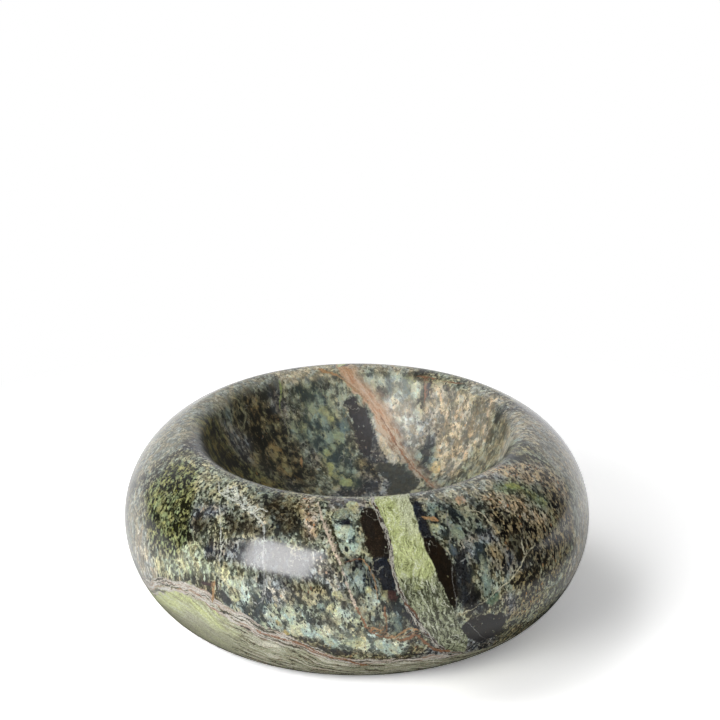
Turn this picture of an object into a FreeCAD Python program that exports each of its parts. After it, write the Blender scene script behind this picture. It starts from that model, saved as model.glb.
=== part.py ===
# Ring dish: a thick-walled bowl turned from one block of marble, on four low stick-on feet.
# Millimetres. Z is the turning axis, and the feet stand on Z = 0.
import FreeCAD, Part
import enum
import math
import os

import Sketcher
from FreeCAD import Vector

# Driving dimensions
SIZES = {
    # The turned stone
    "outer_diameter": 110.0,        # across the widest line of the outside
    "equator_height": 22.9,         # from the ground base up to that widest line
    "crest_rise": 21.5,             # from the widest line up to the crest of the rim
    "crest_inset": 15.2,            # crest of the rim, in from the widest line
    "rim_radius": 4.3,              # round-over from the outside into the bowl
    "base_inset": 16.0,             # edge of the flat base, in from the widest line
    "base_edge_radius": 3.0,        # eased edge between the flat base and the bulge
    "bowl_depth": 27.5,             # from the crest of the rim down to the bowl's lowest point
    # Each foot and the adhesive above it
    "foot_diameter": 10.0,          # at the adhesive
    "foot_taper": 0.5,              # how much the foot draws in from top to bottom, each side
    "foot_thickness": 1.0,
    "foot_edge_radius": 0.4,        # rounded lower edge
    "foot_margin": 5.0,             # bare stone between a foot and the edge of the flat base
    "adhesive_thickness": 0.15,
    "adhesive_setback": 0.25,       # adhesive disc, in from the foot's edge
}

# The feet in turn, counter-clockwise from above, with the front towards -Y
FEET = ("front_right", "rear_right", "rear_left", "front_left")


class Spot(enum.IntEnum):
    """A point on a sketched edge."""

    START = 1
    END = 2
    CENTRE = 3


class Fixed(enum.IntEnum):
    """What every sketch starts with."""

    ORIGIN = -1
    V_AXIS = -2


document = FreeCAD.newDocument("ring_dish")


def make_sheet():
    """Put the driving dimensions in a spreadsheet, one alias for each."""
    sheet = document.addObject("Spreadsheet::Sheet", "sizes")
    for row, (alias, value) in enumerate(SIZES.items(), start=1):
        sheet.set(f"A{row}", alias.replace("_", " "))
        sheet.set(f"B{row}", str(value))
        sheet.setAlias(f"B{row}", alias)
    document.recompute()
    return sheet


sizes = make_sheet()


def polar(centre, radius, angle):
    """The point of a circle at an angle, in a sketch's own plane."""
    return centre + Vector(radius * math.cos(angle), radius * math.sin(angle), 0)


def arc(centre, radius, first, last):
    """A counter-clockwise arc in a sketch's own plane, angles in radians."""
    circle = Part.Circle(centre, Vector(0, 0, 1), radius)
    return Part.ArcOfCircle(circle, first, last)


def line(first, last):
    return Part.LineSegment(first, last)


def new_body(label):
    body = document.addObject("PartDesign::Body", label)
    body.Label = label
    return body


def sketch_on_axis(body, name):
    """A half-section sketch: its own X is the radius and its own Y is the height."""
    sketch = body.newObject("Sketcher::SketchObject", name)
    plane = next(each for each in body.Origin.OriginFeatures if each.Role == "XZ_Plane")
    sketch.AttachmentSupport = [(plane, "")]
    sketch.MapMode = "FlatFace"
    return sketch


def tie(sketch, kind, *places):
    sketch.addConstraint(Sketcher.Constraint(kind, *places))


def drive(sketch, name, expression, kind, *places):
    """Add a dimension and bind it to the sheet."""
    index = sketch.addConstraint(Sketcher.Constraint(kind, *places))
    sketch.renameConstraint(index, name)
    sketch.setExpression(f"Constraints.{name}", expression)


def turn(body, sketch):
    """Turn a half section all the way round the axis."""
    solid = body.newObject("PartDesign::Revolution", f"{body.Name}_turned")
    solid.Profile = sketch
    solid.ReferenceAxis = (sketch, ["V_Axis"])
    solid.Angle = 360.0
    sketch.Visibility = False
    return solid


def blend_radius(reach, rise, inner_radius):
    """Radius of a bulge that leaves the widest line upright and blends into a smaller round-over.

    The round-over's centre lies reach in from the widest line and rise away from it.
    """
    return (reach**2 + rise**2 - inner_radius**2) / (2 * (reach - inner_radius))


def make_stone_bowl():
    """The dish: flat base, bulging outside, rounded rim and a bowl that is part of a sphere."""
    body = new_body("stone_bowl")
    sketch = sketch_on_axis(body, "stone_half_section")

    outer = sizes.outer_diameter / 2
    floor = sizes.foot_thickness + sizes.adhesive_thickness
    equator = floor + sizes.equator_height
    crest = equator + sizes.crest_rise

    base_edge = Vector(outer - sizes.base_inset, floor + sizes.base_edge_radius, 0)
    rim = Vector(outer - sizes.crest_inset, crest - sizes.rim_radius, 0)
    lower_rise = sizes.equator_height - sizes.base_edge_radius
    upper_rise = sizes.crest_rise - sizes.rim_radius
    lower_radius = blend_radius(sizes.base_inset, lower_rise, sizes.base_edge_radius)
    upper_radius = blend_radius(sizes.crest_inset, upper_rise, sizes.rim_radius)
    lower = Vector(outer - lower_radius, equator, 0)
    upper = Vector(outer - upper_radius, equator, 0)

    # The bowl's sphere sits on the axis and meets the rim's round-over smoothly
    rim_depth = sizes.bowl_depth - sizes.rim_radius
    bowl_radius = (rim.x**2 + rim_depth**2 - sizes.rim_radius**2) / (2 * sizes.bowl_depth)
    bowl_floor = crest - sizes.bowl_depth
    bowl = Vector(0, bowl_floor + bowl_radius, 0)

    down = -math.pi / 2
    lower_meet = math.atan2(base_edge.y - lower.y, base_edge.x - lower.x)
    upper_meet = math.atan2(rim.y - upper.y, rim.x - upper.x)
    lip_meet = math.atan2(rim.y - bowl.y, rim.x - bowl.x)

    base_line, base_arc, lower_arc, upper_arc, rim_arc, bowl_arc, axis_line = sketch.addGeometry([
        line(Vector(0, floor, 0), Vector(base_edge.x, floor, 0)),
        arc(base_edge, sizes.base_edge_radius, down, lower_meet),
        arc(lower, lower_radius, lower_meet, 0),
        arc(upper, upper_radius, 0, upper_meet),
        arc(rim, sizes.rim_radius, upper_meet, lip_meet + math.pi),
        arc(bowl, bowl_radius, down, lip_meet),
        line(Vector(0, bowl_floor, 0), Vector(0, floor, 0)),
    ], False)

    # Each edge runs smoothly into the next, from the base round to the bowl's lowest point
    tie(sketch, "Tangent", base_line, Spot.END, base_arc, Spot.START)
    tie(sketch, "Tangent", base_arc, Spot.END, lower_arc, Spot.START)
    tie(sketch, "Tangent", lower_arc, Spot.END, upper_arc, Spot.START)
    tie(sketch, "Tangent", upper_arc, Spot.END, rim_arc, Spot.START)
    tie(sketch, "Tangent", rim_arc, Spot.END, bowl_arc, Spot.END)
    tie(sketch, "Coincident", bowl_arc, Spot.START, axis_line, Spot.START)
    tie(sketch, "Coincident", axis_line, Spot.END, base_line, Spot.START)
    tie(sketch, "Horizontal", base_line)
    tie(sketch, "Horizontal", lower_arc, Spot.CENTRE, lower_arc, Spot.END)
    tie(sketch, "PointOnObject", axis_line, Spot.START, Fixed.V_AXIS)
    tie(sketch, "PointOnObject", axis_line, Spot.END, Fixed.V_AXIS)
    tie(sketch, "PointOnObject", bowl_arc, Spot.CENTRE, Fixed.V_AXIS)

    drive(sketch, "floor", "sizes.foot_thickness + sizes.adhesive_thickness",
          "DistanceY", Fixed.ORIGIN, Spot.START, base_line, Spot.START, floor)
    drive(sketch, "equator_height", "sizes.equator_height",
          "DistanceY", base_line, Spot.START, lower_arc, Spot.END, sizes.equator_height)
    drive(sketch, "outer_radius", "sizes.outer_diameter / 2",
          "DistanceX", Fixed.ORIGIN, Spot.START, lower_arc, Spot.END, outer)
    drive(sketch, "base_inset", "sizes.base_inset",
          "DistanceX", base_line, Spot.END, lower_arc, Spot.END, sizes.base_inset)
    drive(sketch, "base_edge_radius", "sizes.base_edge_radius",
          "Radius", base_arc, sizes.base_edge_radius)
    drive(sketch, "crest_inset", "sizes.crest_inset",
          "DistanceX", rim_arc, Spot.CENTRE, lower_arc, Spot.END, sizes.crest_inset)
    drive(sketch, "crest_rise", "sizes.crest_rise - sizes.rim_radius",
          "DistanceY", lower_arc, Spot.END, rim_arc, Spot.CENTRE, upper_rise)
    drive(sketch, "rim_radius", "sizes.rim_radius",
          "Radius", rim_arc, sizes.rim_radius)
    drive(sketch, "bowl_depth", "sizes.bowl_depth - sizes.rim_radius",
          "DistanceY", bowl_arc, Spot.START, rim_arc, Spot.CENTRE, rim_depth)

    turn(body, sketch)
    return body


def set_beside_axis(piece, angle, height):
    """Stand a piece on the circle of feet, which keeps its margin from the edge of the base."""
    ring = ("(sizes.outer_diameter / 2 - sizes.base_inset"
            " - sizes.foot_margin - sizes.foot_diameter / 2)")
    piece.setExpression("Placement.Base.x", f"{ring} * cos({angle} deg)")
    piece.setExpression("Placement.Base.y", f"{ring} * sin({angle} deg)")
    piece.setExpression("Placement.Base.z", height)


def make_foot(corner, angle):
    """A low bumper: wider at the adhesive, with a rounded lower edge and a flat bottom."""
    body = new_body(f"foot_{corner}")
    sketch = sketch_on_axis(body, f"foot_half_section_{corner}")

    top_radius = sizes.foot_diameter / 2
    bottom_radius = top_radius - sizes.foot_taper
    thickness = sizes.foot_thickness
    edge_radius = sizes.foot_edge_radius

    # The side leans out from the bottom to the top, and the rounded edge touches side and bottom
    lean = math.atan2(sizes.foot_taper, thickness)
    edge_reach = edge_radius * math.tan((math.pi / 2 - lean) / 2)
    edge = Vector(bottom_radius - edge_reach, edge_radius, 0)
    side_start = polar(edge, edge_radius, -lean)
    top_corner = Vector(top_radius, thickness, 0)
    top_middle = Vector(0, thickness, 0)

    bottom_line, edge_arc, side_line, top_line, axis_line = sketch.addGeometry([
        line(Vector(0, 0, 0), Vector(edge.x, 0, 0)),
        arc(edge, edge_radius, -math.pi / 2, -lean),
        line(side_start, top_corner),
        line(top_corner, top_middle),
        line(top_middle, Vector(0, 0, 0)),
    ], False)
    sharp_corner = sketch.addGeometry(Part.Point(Vector(bottom_radius, 0, 0)), True)

    tie(sketch, "Tangent", bottom_line, Spot.END, edge_arc, Spot.START)
    tie(sketch, "Tangent", edge_arc, Spot.END, side_line, Spot.START)
    tie(sketch, "Coincident", side_line, Spot.END, top_line, Spot.START)
    tie(sketch, "Coincident", top_line, Spot.END, axis_line, Spot.START)
    tie(sketch, "Coincident", axis_line, Spot.END, bottom_line, Spot.START)
    tie(sketch, "Coincident", bottom_line, Spot.START, Fixed.ORIGIN, Spot.START)
    tie(sketch, "Horizontal", bottom_line)
    tie(sketch, "Horizontal", top_line)
    tie(sketch, "Vertical", axis_line)
    tie(sketch, "PointOnObject", sharp_corner, Spot.START, bottom_line)
    tie(sketch, "PointOnObject", sharp_corner, Spot.START, side_line)

    drive(sketch, "top_radius", "sizes.foot_diameter / 2",
          "DistanceX", Fixed.ORIGIN, Spot.START, side_line, Spot.END, top_radius)
    drive(sketch, "taper", "sizes.foot_taper",
          "DistanceX", sharp_corner, Spot.START, side_line, Spot.END, sizes.foot_taper)
    drive(sketch, "thickness", "sizes.foot_thickness",
          "DistanceY", Fixed.ORIGIN, Spot.START, side_line, Spot.END, thickness)
    drive(sketch, "edge_radius", "sizes.foot_edge_radius",
          "Radius", edge_arc, edge_radius)

    turn(body, sketch)
    set_beside_axis(body, angle, "0")
    return body


def make_adhesive(corner, angle):
    """The thin disc that holds a foot to the flat base."""
    disc = document.addObject("Part::Cylinder", f"adhesive_{corner}")
    disc.Label = f"adhesive_{corner}"
    disc.setExpression("Radius", "sizes.foot_diameter / 2 - sizes.adhesive_setback")
    disc.setExpression("Height", "sizes.adhesive_thickness")
    set_beside_axis(disc, angle, "sizes.foot_thickness")
    return disc


def check_document():
    """Stop if anything in the document failed to build."""
    for each in document.Objects:
        if "Invalid" in each.State or "Error" in each.State:
            raise RuntimeError(f"{each.Label} did not build: {each.State}")


def check_sub_part(sub_part):
    shape = sub_part.Shape
    if shape.isNull() or not shape.isValid() or len(shape.Solids) != 1:
        raise RuntimeError(f"{sub_part.Label} is not one valid solid")


sub_parts = [make_stone_bowl()]
for index, corner in enumerate(FEET):
    angle = 360 / len(FEET) * (index - 0.5)
    sub_parts.append(make_foot(corner, angle))
    sub_parts.append(make_adhesive(corner, angle))

document.recompute()
check_document()
for sub_part in sub_parts:
    check_sub_part(sub_part)

os.makedirs("parts", exist_ok=True)
for sub_part in sub_parts:
    sub_part.Shape.exportStep(f"parts/{sub_part.Label}.step")
    print(sub_part.Label, round(sub_part.Shape.Volume, 3), "mm3")
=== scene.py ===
# Ring dish turned from one block of green marble, on four low stick-on feet.
# Metres, in the part's own frame: Z is the turning axis and the front faces -Y.
import math
import random
from collections import namedtuple

import bmesh
import bpy
import numpy as np
from mathutils import Euler, Matrix, Vector, noise
from mathutils.bvhtree import BVHTree


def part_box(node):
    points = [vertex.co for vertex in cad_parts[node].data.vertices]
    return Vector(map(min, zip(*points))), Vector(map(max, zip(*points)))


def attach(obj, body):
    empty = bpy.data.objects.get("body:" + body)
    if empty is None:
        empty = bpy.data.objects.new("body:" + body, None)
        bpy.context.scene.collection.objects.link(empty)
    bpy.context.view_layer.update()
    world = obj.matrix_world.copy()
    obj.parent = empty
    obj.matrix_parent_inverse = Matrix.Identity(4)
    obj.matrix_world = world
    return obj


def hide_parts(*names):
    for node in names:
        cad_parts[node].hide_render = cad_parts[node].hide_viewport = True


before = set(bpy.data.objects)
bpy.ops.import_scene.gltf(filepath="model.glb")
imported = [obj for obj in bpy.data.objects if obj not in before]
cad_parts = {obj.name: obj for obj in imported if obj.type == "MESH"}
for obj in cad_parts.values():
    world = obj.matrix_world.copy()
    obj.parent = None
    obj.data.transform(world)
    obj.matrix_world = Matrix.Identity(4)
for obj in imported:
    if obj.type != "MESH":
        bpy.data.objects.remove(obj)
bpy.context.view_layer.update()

MM = 0.001

# Sizes of the turned stone, beside those that its box gives
CREST_INSET = 15.2 * MM
EQUATOR_HEIGHT = 22.9 * MM
RIM_RADIUS = 4.3 * MM
BASE_INSET = 16.0 * MM
BASE_EDGE_RADIUS = 3.0 * MM
BOWL_DEPTH = 27.5 * MM

# Points along each arc of the half section, and along the bowl's
ARC_POINTS = 40
BOWL_POINTS = 120

# The stone's mesh: its steps, and the share of the section's length and of its steps that the base takes
STEPS_AROUND = 440
STEPS_ALONG = 222
BASE_LENGTH_SHARE = 0.21
BASE_STEPS_SHARE = 0.08
WELD_DISTANCE = 0.002 * MM

# The camera, which sees the dish as the photograph does
PICTURE_SIZE = 720
LENS = 162.0
SENSOR = 36.0
CAMERA_DISTANCE = 770 * MM
CAMERA_ELEVATION = math.radians(24.68)
EQUATOR_PIXEL = (356.9, 511.6)

# One pixel of the photograph at the dish, in millimetres
PIXEL = 0.24

# The way down the beds of the rock, and the way they run across the bowl and the base
DIP = (0.31, -0.17, -0.935)
STRIKE = (0.25, -0.97, 0.0)

# The bowl's wall and the base lie within this distance of the axis, in millimetres
BOWL_REACH = 38.0


def paint(red, green, blue):
    """A colour given as it shows on a screen, 0 to 255, as the shader's linear values."""
    def linear(level):
        share = level / 255
        return share / 12.92 if share <= 0.04045 else ((share + 0.055) / 1.055) ** 2.4
    return (linear(red), linear(green), linear(blue), 1.0)


class Nodes:
    """A node tree being put together: each call adds a node, linked to what it is given."""

    def __init__(self, tree):
        self.tree = tree

    def add(self, kind, inputs=(), **settings):
        node = self.tree.nodes.new(kind)
        for name, value in settings.items():
            setattr(node, name, value)
        for socket, value in dict(inputs).items():
            self.put(value, node.inputs[socket])
        return node

    def put(self, value, socket):
        """Link an output to a socket, or set the socket to a plain value."""
        if isinstance(value, bpy.types.NodeSocket):
            self.tree.links.new(value, socket)
        else:
            socket.default_value = value

    def calc(self, operation, first, second=0.0, third=0.0, clamp=False):
        inputs = {0: first, 1: second, 2: third}
        return self.add("ShaderNodeMath", inputs, operation=operation, use_clamp=clamp).outputs[0]

    def share_of(self, first, second):
        return self.calc("MULTIPLY", first, second)

    def step(self, value, low, high):
        """0 below low, 1 above high, and a smooth rise between."""
        inputs = {"Value": value, "From Min": low, "From Max": high}
        return self.add("ShaderNodeMapRange", inputs, interpolation_type="SMOOTHSTEP").outputs["Result"]

    def noise(self, place, size, detail=2.0, roughness=0.55, shift=None, colour=False):
        """Cloudy noise around 0.5, with features of a given size. A shift gives another cloud."""
        if shift:
            place = self.add("ShaderNodeVectorMath", {0: place, 1: shift}, operation="ADD").outputs[0]
        inputs = {"Vector": place, "Scale": 1 / size, "Detail": detail, "Roughness": roughness}
        return self.add("ShaderNodeTexNoise", inputs).outputs[1 if colour else 0]

    def split(self, vector):
        return self.add("ShaderNodeSeparateXYZ", {0: vector}).outputs

    def length(self, vector):
        return self.add("ShaderNodeVectorMath", {0: vector}, operation="LENGTH").outputs["Value"]

    def toward(self, vector, way):
        """How far a place lies in a given direction."""
        inputs = {0: vector, 1: way}
        return self.add("ShaderNodeVectorMath", inputs, operation="DOT_PRODUCT").outputs["Value"]

    def blend(self, factor, first, second, mode="MIX"):
        node = self.add("ShaderNodeMix", data_type="RGBA", blend_type=mode)
        for socket, value in zip((node.inputs[0], node.inputs[6], node.inputs[7]), (factor, first, second)):
            self.put(value, socket)
        return node.outputs[2]


# The turned stone

def arc(centre, radius, first, last, count=ARC_POINTS):
    """Points along an arc of the half section, as (radius, height)."""
    angles = np.linspace(first, last, count)
    return [(centre[0] + radius * math.cos(a), centre[1] + radius * math.sin(a)) for a in angles]


def bulge_radius(reach, rise, inner_radius):
    """Radius of the bulge between the widest line and a smaller round-over."""
    return (reach**2 + rise**2 - inner_radius**2) / (2 * (reach - inner_radius))


def angle_to(start, end):
    """Direction from one point of the half section to another."""
    return math.atan2(end[1] - start[1], end[0] - start[0])


def half_section():
    """The stone's outline from the middle of its base, out and up over the rim, into the bowl."""
    low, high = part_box("stone_bowl")
    outer, floor, crest = high.x, low.z, high.z
    equator = floor + EQUATOR_HEIGHT
    base_edge = (outer - BASE_INSET, floor + BASE_EDGE_RADIUS)
    rim = (outer - CREST_INSET, crest - RIM_RADIUS)
    lower_radius = bulge_radius(BASE_INSET, equator - base_edge[1], BASE_EDGE_RADIUS)
    upper_radius = bulge_radius(CREST_INSET, rim[1] - equator, RIM_RADIUS)
    lower = (outer - lower_radius, equator)
    upper = (outer - upper_radius, equator)
    rim_depth = BOWL_DEPTH - RIM_RADIUS
    bowl_radius = (rim[0] ** 2 + rim_depth**2 - RIM_RADIUS**2) / (2 * BOWL_DEPTH)
    bowl = (0.0, crest - BOWL_DEPTH + bowl_radius)
    lower_meet = angle_to(lower, base_edge)
    upper_meet = angle_to(upper, rim)
    lip_meet = angle_to(bowl, rim)
    down = -math.pi / 2
    outline = [(0.0, floor)]
    outline += arc(base_edge, BASE_EDGE_RADIUS, down, lower_meet)
    outline += arc(lower, lower_radius, lower_meet, 0)[1:]
    outline += arc(upper, upper_radius, 0, upper_meet)[1:]
    outline += arc(rim, RIM_RADIUS, upper_meet, lip_meet + math.pi)[1:]
    outline += arc(bowl, bowl_radius, lip_meet, down, BOWL_POINTS)[1:]
    return outline, equator


# What the lathe is given beside the half section: kind of socket and value
LATHE_SIZES = {
    "Steps around": ("NodeSocketInt", STEPS_AROUND),
    "Steps along": ("NodeSocketInt", STEPS_ALONG),
    "Weld distance": ("NodeSocketFloat", WELD_DISTANCE),
    "Base length": ("NodeSocketFloat", BASE_LENGTH_SHARE),
    "Base steps": ("NodeSocketFloat", BASE_STEPS_SHARE),
}


def lathe_tree(finish):
    """Geometry nodes that turn a half section, drawn in X and Z, all the way round Z."""
    tree = bpy.data.node_groups.new("lathe", "GeometryNodeTree")
    tree.interface.new_socket(name="Half section", in_out="INPUT", socket_type="NodeSocketGeometry")
    sockets = {name: tree.interface.new_socket(name=name, in_out="INPUT", socket_type=kind)
               for name, (kind, _) in LATHE_SIZES.items()}
    tree.interface.new_socket(name="Turned", in_out="OUTPUT", socket_type="NodeSocketGeometry")
    nodes = Nodes(tree)
    calc = nodes.calc
    given = nodes.add("NodeGroupInput").outputs

    # A flat grid: one row of points for each step along the section, one more column to close it
    columns = calc("ADD", given["Steps around"], 1)
    sides = {"Vertices X": columns, "Vertices Y": given["Steps along"], "Size X": 1.0, "Size Y": 1.0}
    grid = nodes.add("GeometryNodeMeshGrid", sides).outputs["Mesh"]
    spot = nodes.split(nodes.add("GeometryNodeInputPosition").outputs[0])
    turn = calc("MULTIPLY", spot["X"], 2 * math.pi)
    share = calc("ADD", spot["Y"], 0.5)

    # The flat base, which is the first part of the section, gets wider steps than the rest
    length, steps = given["Base length"], given["Base steps"]
    on_base = calc("MULTIPLY", share, calc("DIVIDE", length, steps))
    slope = calc("DIVIDE", calc("SUBTRACT", 1.0, length), calc("SUBTRACT", 1.0, steps))
    past_base = calc("ADD", length, calc("MULTIPLY", calc("SUBTRACT", share, steps), slope))
    travel = calc("MINIMUM", on_base, past_base)

    drawn = {"Curves": given["Half section"], "Factor": travel}
    section = nodes.add("GeometryNodeSampleCurve", drawn, mode="FACTOR", use_all_curves=True)
    radius, _, height = nodes.split(section.outputs["Position"])
    across = calc("MULTIPLY", radius, calc("COSINE", turn))
    back = calc("MULTIPLY", radius, calc("SINE", turn))
    place = nodes.add("ShaderNodeCombineXYZ", {"X": across, "Y": back, "Z": height}).outputs[0]

    turned = nodes.add("GeometryNodeSetPosition", {"Geometry": grid, "Position": place}).outputs[0]
    weld = {"Geometry": turned, "Distance": given["Weld distance"]}
    turned = nodes.add("GeometryNodeMergeByDistance", weld).outputs[0]
    turned = nodes.add("GeometryNodeSetShadeSmooth", {"Geometry": turned}).outputs[0]
    turned = nodes.add("GeometryNodeRealizeInstances", {"Geometry": turned}).outputs[0]
    turned = nodes.add("GeometryNodeSetMaterial", {"Geometry": turned, "Material": finish}).outputs[0]
    nodes.add("NodeGroupOutput", {"Turned": turned})
    return tree, sockets


def turn_stone(finish):
    """The dish as one closed mesh."""
    outline, equator = half_section()
    curve = bpy.data.curves.new("half_section", "CURVE")
    curve.dimensions = "3D"
    spline = curve.splines.new("POLY")
    spline.points.add(len(outline) - 1)
    for point, (radius, height) in zip(spline.points, outline):
        point.co = (radius, 0.0, height, 1.0)
    section = bpy.data.objects.new("half_section", curve)
    bpy.context.scene.collection.objects.link(section)

    tree, sockets = lathe_tree(finish)
    modifier = section.modifiers.new("lathe", "NODES")
    modifier.node_group = tree
    for name, (_, size) in LATHE_SIZES.items():
        modifier[sockets[name].identifier] = size
    evaluated = section.evaluated_get(bpy.context.evaluated_depsgraph_get())
    mesh = bpy.data.meshes.new_from_object(evaluated)
    section.modifiers.remove(modifier)
    bpy.data.objects.remove(section)

    shape = bmesh.new()
    shape.from_mesh(mesh)
    bmesh.ops.recalc_face_normals(shape, faces=shape.faces)
    shape.to_mesh(mesh)
    shape.free()
    mesh.name = "turned_stone"
    stone = bpy.data.objects.new("turned_stone", mesh)
    bpy.context.scene.collection.objects.link(stone)
    return stone, equator


# Camera

def make_camera(equator):
    """A camera that shows the widest line's middle at its pixel in the photograph."""
    data = bpy.data.cameras.new("camera")
    data.lens = LENS
    data.sensor_width = SENSOR
    data.clip_start = 10 * MM
    camera = bpy.data.objects.new("camera", data)
    bpy.context.scene.collection.objects.link(camera)
    target = Vector((0, 0, equator))
    away = Vector((0, -math.cos(CAMERA_ELEVATION), math.sin(CAMERA_ELEVATION)))
    camera.location = target + CAMERA_DISTANCE * away
    focal = LENS / SENSOR * PICTURE_SIZE
    tilt = math.atan((EQUATOR_PIXEL[1] - PICTURE_SIZE / 2) / focal)
    swing = math.atan((EQUATOR_PIXEL[0] - PICTURE_SIZE / 2) / focal)
    aim = (-away).to_track_quat("-Z", "Y")
    camera.rotation_euler = (aim @ Euler((tilt, swing, 0)).to_quaternion()).to_euler()
    bpy.context.scene.camera = camera
    bpy.context.view_layer.update()
    return camera


# The figure in the stone

Rock = namedtuple("Rock", "ground pale spice cover coarse dust specks")


def rock(ground, pale, spice, cover, coarse, dust, specks):
    """One kind of rock: three colours, the share of pale grains, their coarseness, spice and dark specks."""
    return Rock(paint(*ground)[:3], paint(*pale)[:3], paint(*spice)[:3], cover, coarse, dust, specks)


# The rocks: each colour as it shows on a screen
# The four rim rocks are partly painted sheen: lighter than the stone is, where the white room shows in the
# polish at a grazing angle along the rim and the outline
ROCKS = {
    "ground mass": rock((50, 50, 44), (164, 166, 148), (122, 126, 108), 0.40, 0.40, 0.16, 0.34),
    "olive fleck": rock((26, 27, 14), (152, 158, 114), (118, 122, 64), 0.35, 0.06, 0.14, 0.24),
    "grey olive": rock((62, 63, 52), (177, 179, 155), (154, 154, 124), 0.49, 0.08, 0.18, 0.28),
    "left rim sheen": rock((122, 122, 112), (170, 170, 156), (168, 160, 140), 0.52, 0.10, 0.10, 0.12),
    "dark brown": rock((42, 37, 26), (104, 100, 82), (82, 76, 48), 0.18, 0.08, 0.10, 0.25),
    "blue grey": rock((52, 53, 57), (162, 162, 158), (150, 140, 130), 0.36, 0.10, 0.14, 0.34),
    "yellow pale": rock((114, 116, 98), (214, 217, 187), (164, 174, 134), 0.65, 0.25, 0.22, 0.30),
    "salt and pepper": rock((76, 76, 75), (200, 200, 192), (182, 158, 138), 0.50, 0.05, 0.26, 0.36),
    "brown olive": rock((58, 54, 40), (160, 156, 126), (120, 90, 66), 0.44, 0.10, 0.18, 0.34),
    "tan patch": rock((80, 68, 54), (204, 188, 166), (192, 132, 92), 0.60, 0.10, 0.30, 0.34),
    "lace": rock((78, 78, 68), (208, 208, 194), (188, 168, 148), 0.60, 0.05, 0.24, 0.30),
    "celadon": rock((66, 73, 72), (195, 206, 192), (198, 202, 168), 0.56, 0.85, 0.10, 0.50),
    "dim celadon": rock((40, 45, 45), (146, 156, 146), (150, 152, 130), 0.44, 0.70, 0.12, 0.46),
    "pale celadon": rock((106, 111, 101), (213, 219, 203), (210, 210, 175), 0.62, 0.60, 0.12, 0.42),
    "teal": rock((50, 58, 60), (168, 182, 175), (178, 181, 150), 0.46, 0.75, 0.12, 0.42),
    "purple grey": rock((92, 91, 93), (172, 171, 169), (142, 142, 138), 0.46, 0.40, 0.12, 0.24),
    "dark grey": rock((25, 26, 28), (102, 106, 104), (84, 86, 83), 0.28, 0.30, 0.10, 0.22),
    "smooth grey": rock((44, 44, 46), (84, 86, 86), (78, 79, 78), 0.20, 0.20, 0.02, 0.10),
    "tan dark": rock((15, 12, 8), (154, 144, 117), (154, 118, 84), 0.36, 0.06, 0.20, 0.32),
    "olive tan": rock((38, 34, 24), (164, 155, 123), (164, 126, 84), 0.42, 0.08, 0.20, 0.32),
    "orange dash": rock((68, 61, 50), (198, 184, 159), (180, 130, 91), 0.58, 0.08, 0.34, 0.28),
    "right rim sheen": rock((138, 134, 124), (192, 188, 174), (176, 160, 140), 0.52, 0.08, 0.12, 0.10),
    "near rim sheen": rock((128, 128, 119), (206, 206, 194), (188, 170, 146), 0.58, 0.12, 0.14, 0.16),
    "green arc": rock((80, 86, 64), (160, 168, 124), (150, 160, 140), 0.52, 0.12, 0.20, 0.20),
    "bowl olive": rock((20, 20, 9), (142, 137, 88), (128, 100, 52), 0.44, 0.25, 0.14, 0.20),
    "bowl brown": rock((24, 23, 16), (150, 142, 106), (140, 104, 62), 0.44, 0.30, 0.16, 0.25),
    "inner teal": rock((52, 64, 64), (142, 154, 136), (158, 162, 114), 0.48, 0.50, 0.08, 0.20),
    "cream": rock((146, 142, 132), (214, 211, 198), (196, 178, 152), 0.58, 0.30, 0.12, 0.20),
    "tan cream": rock((126, 120, 106), (216, 204, 182), (194, 156, 116), 0.55, 0.15, 0.20, 0.35),
    "grey celadon": rock((100, 106, 96), (188, 194, 176), (150, 166, 110), 0.54, 0.60, 0.10, 0.30),
    "far rim sheen": rock((154, 150, 136), (206, 202, 186), (182, 172, 148), 0.58, 0.15, 0.10, 0.12),
    "right wall": rock((84, 82, 68), (170, 168, 146), (150, 130, 98), 0.50, 0.20, 0.14, 0.30),
}

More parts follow.
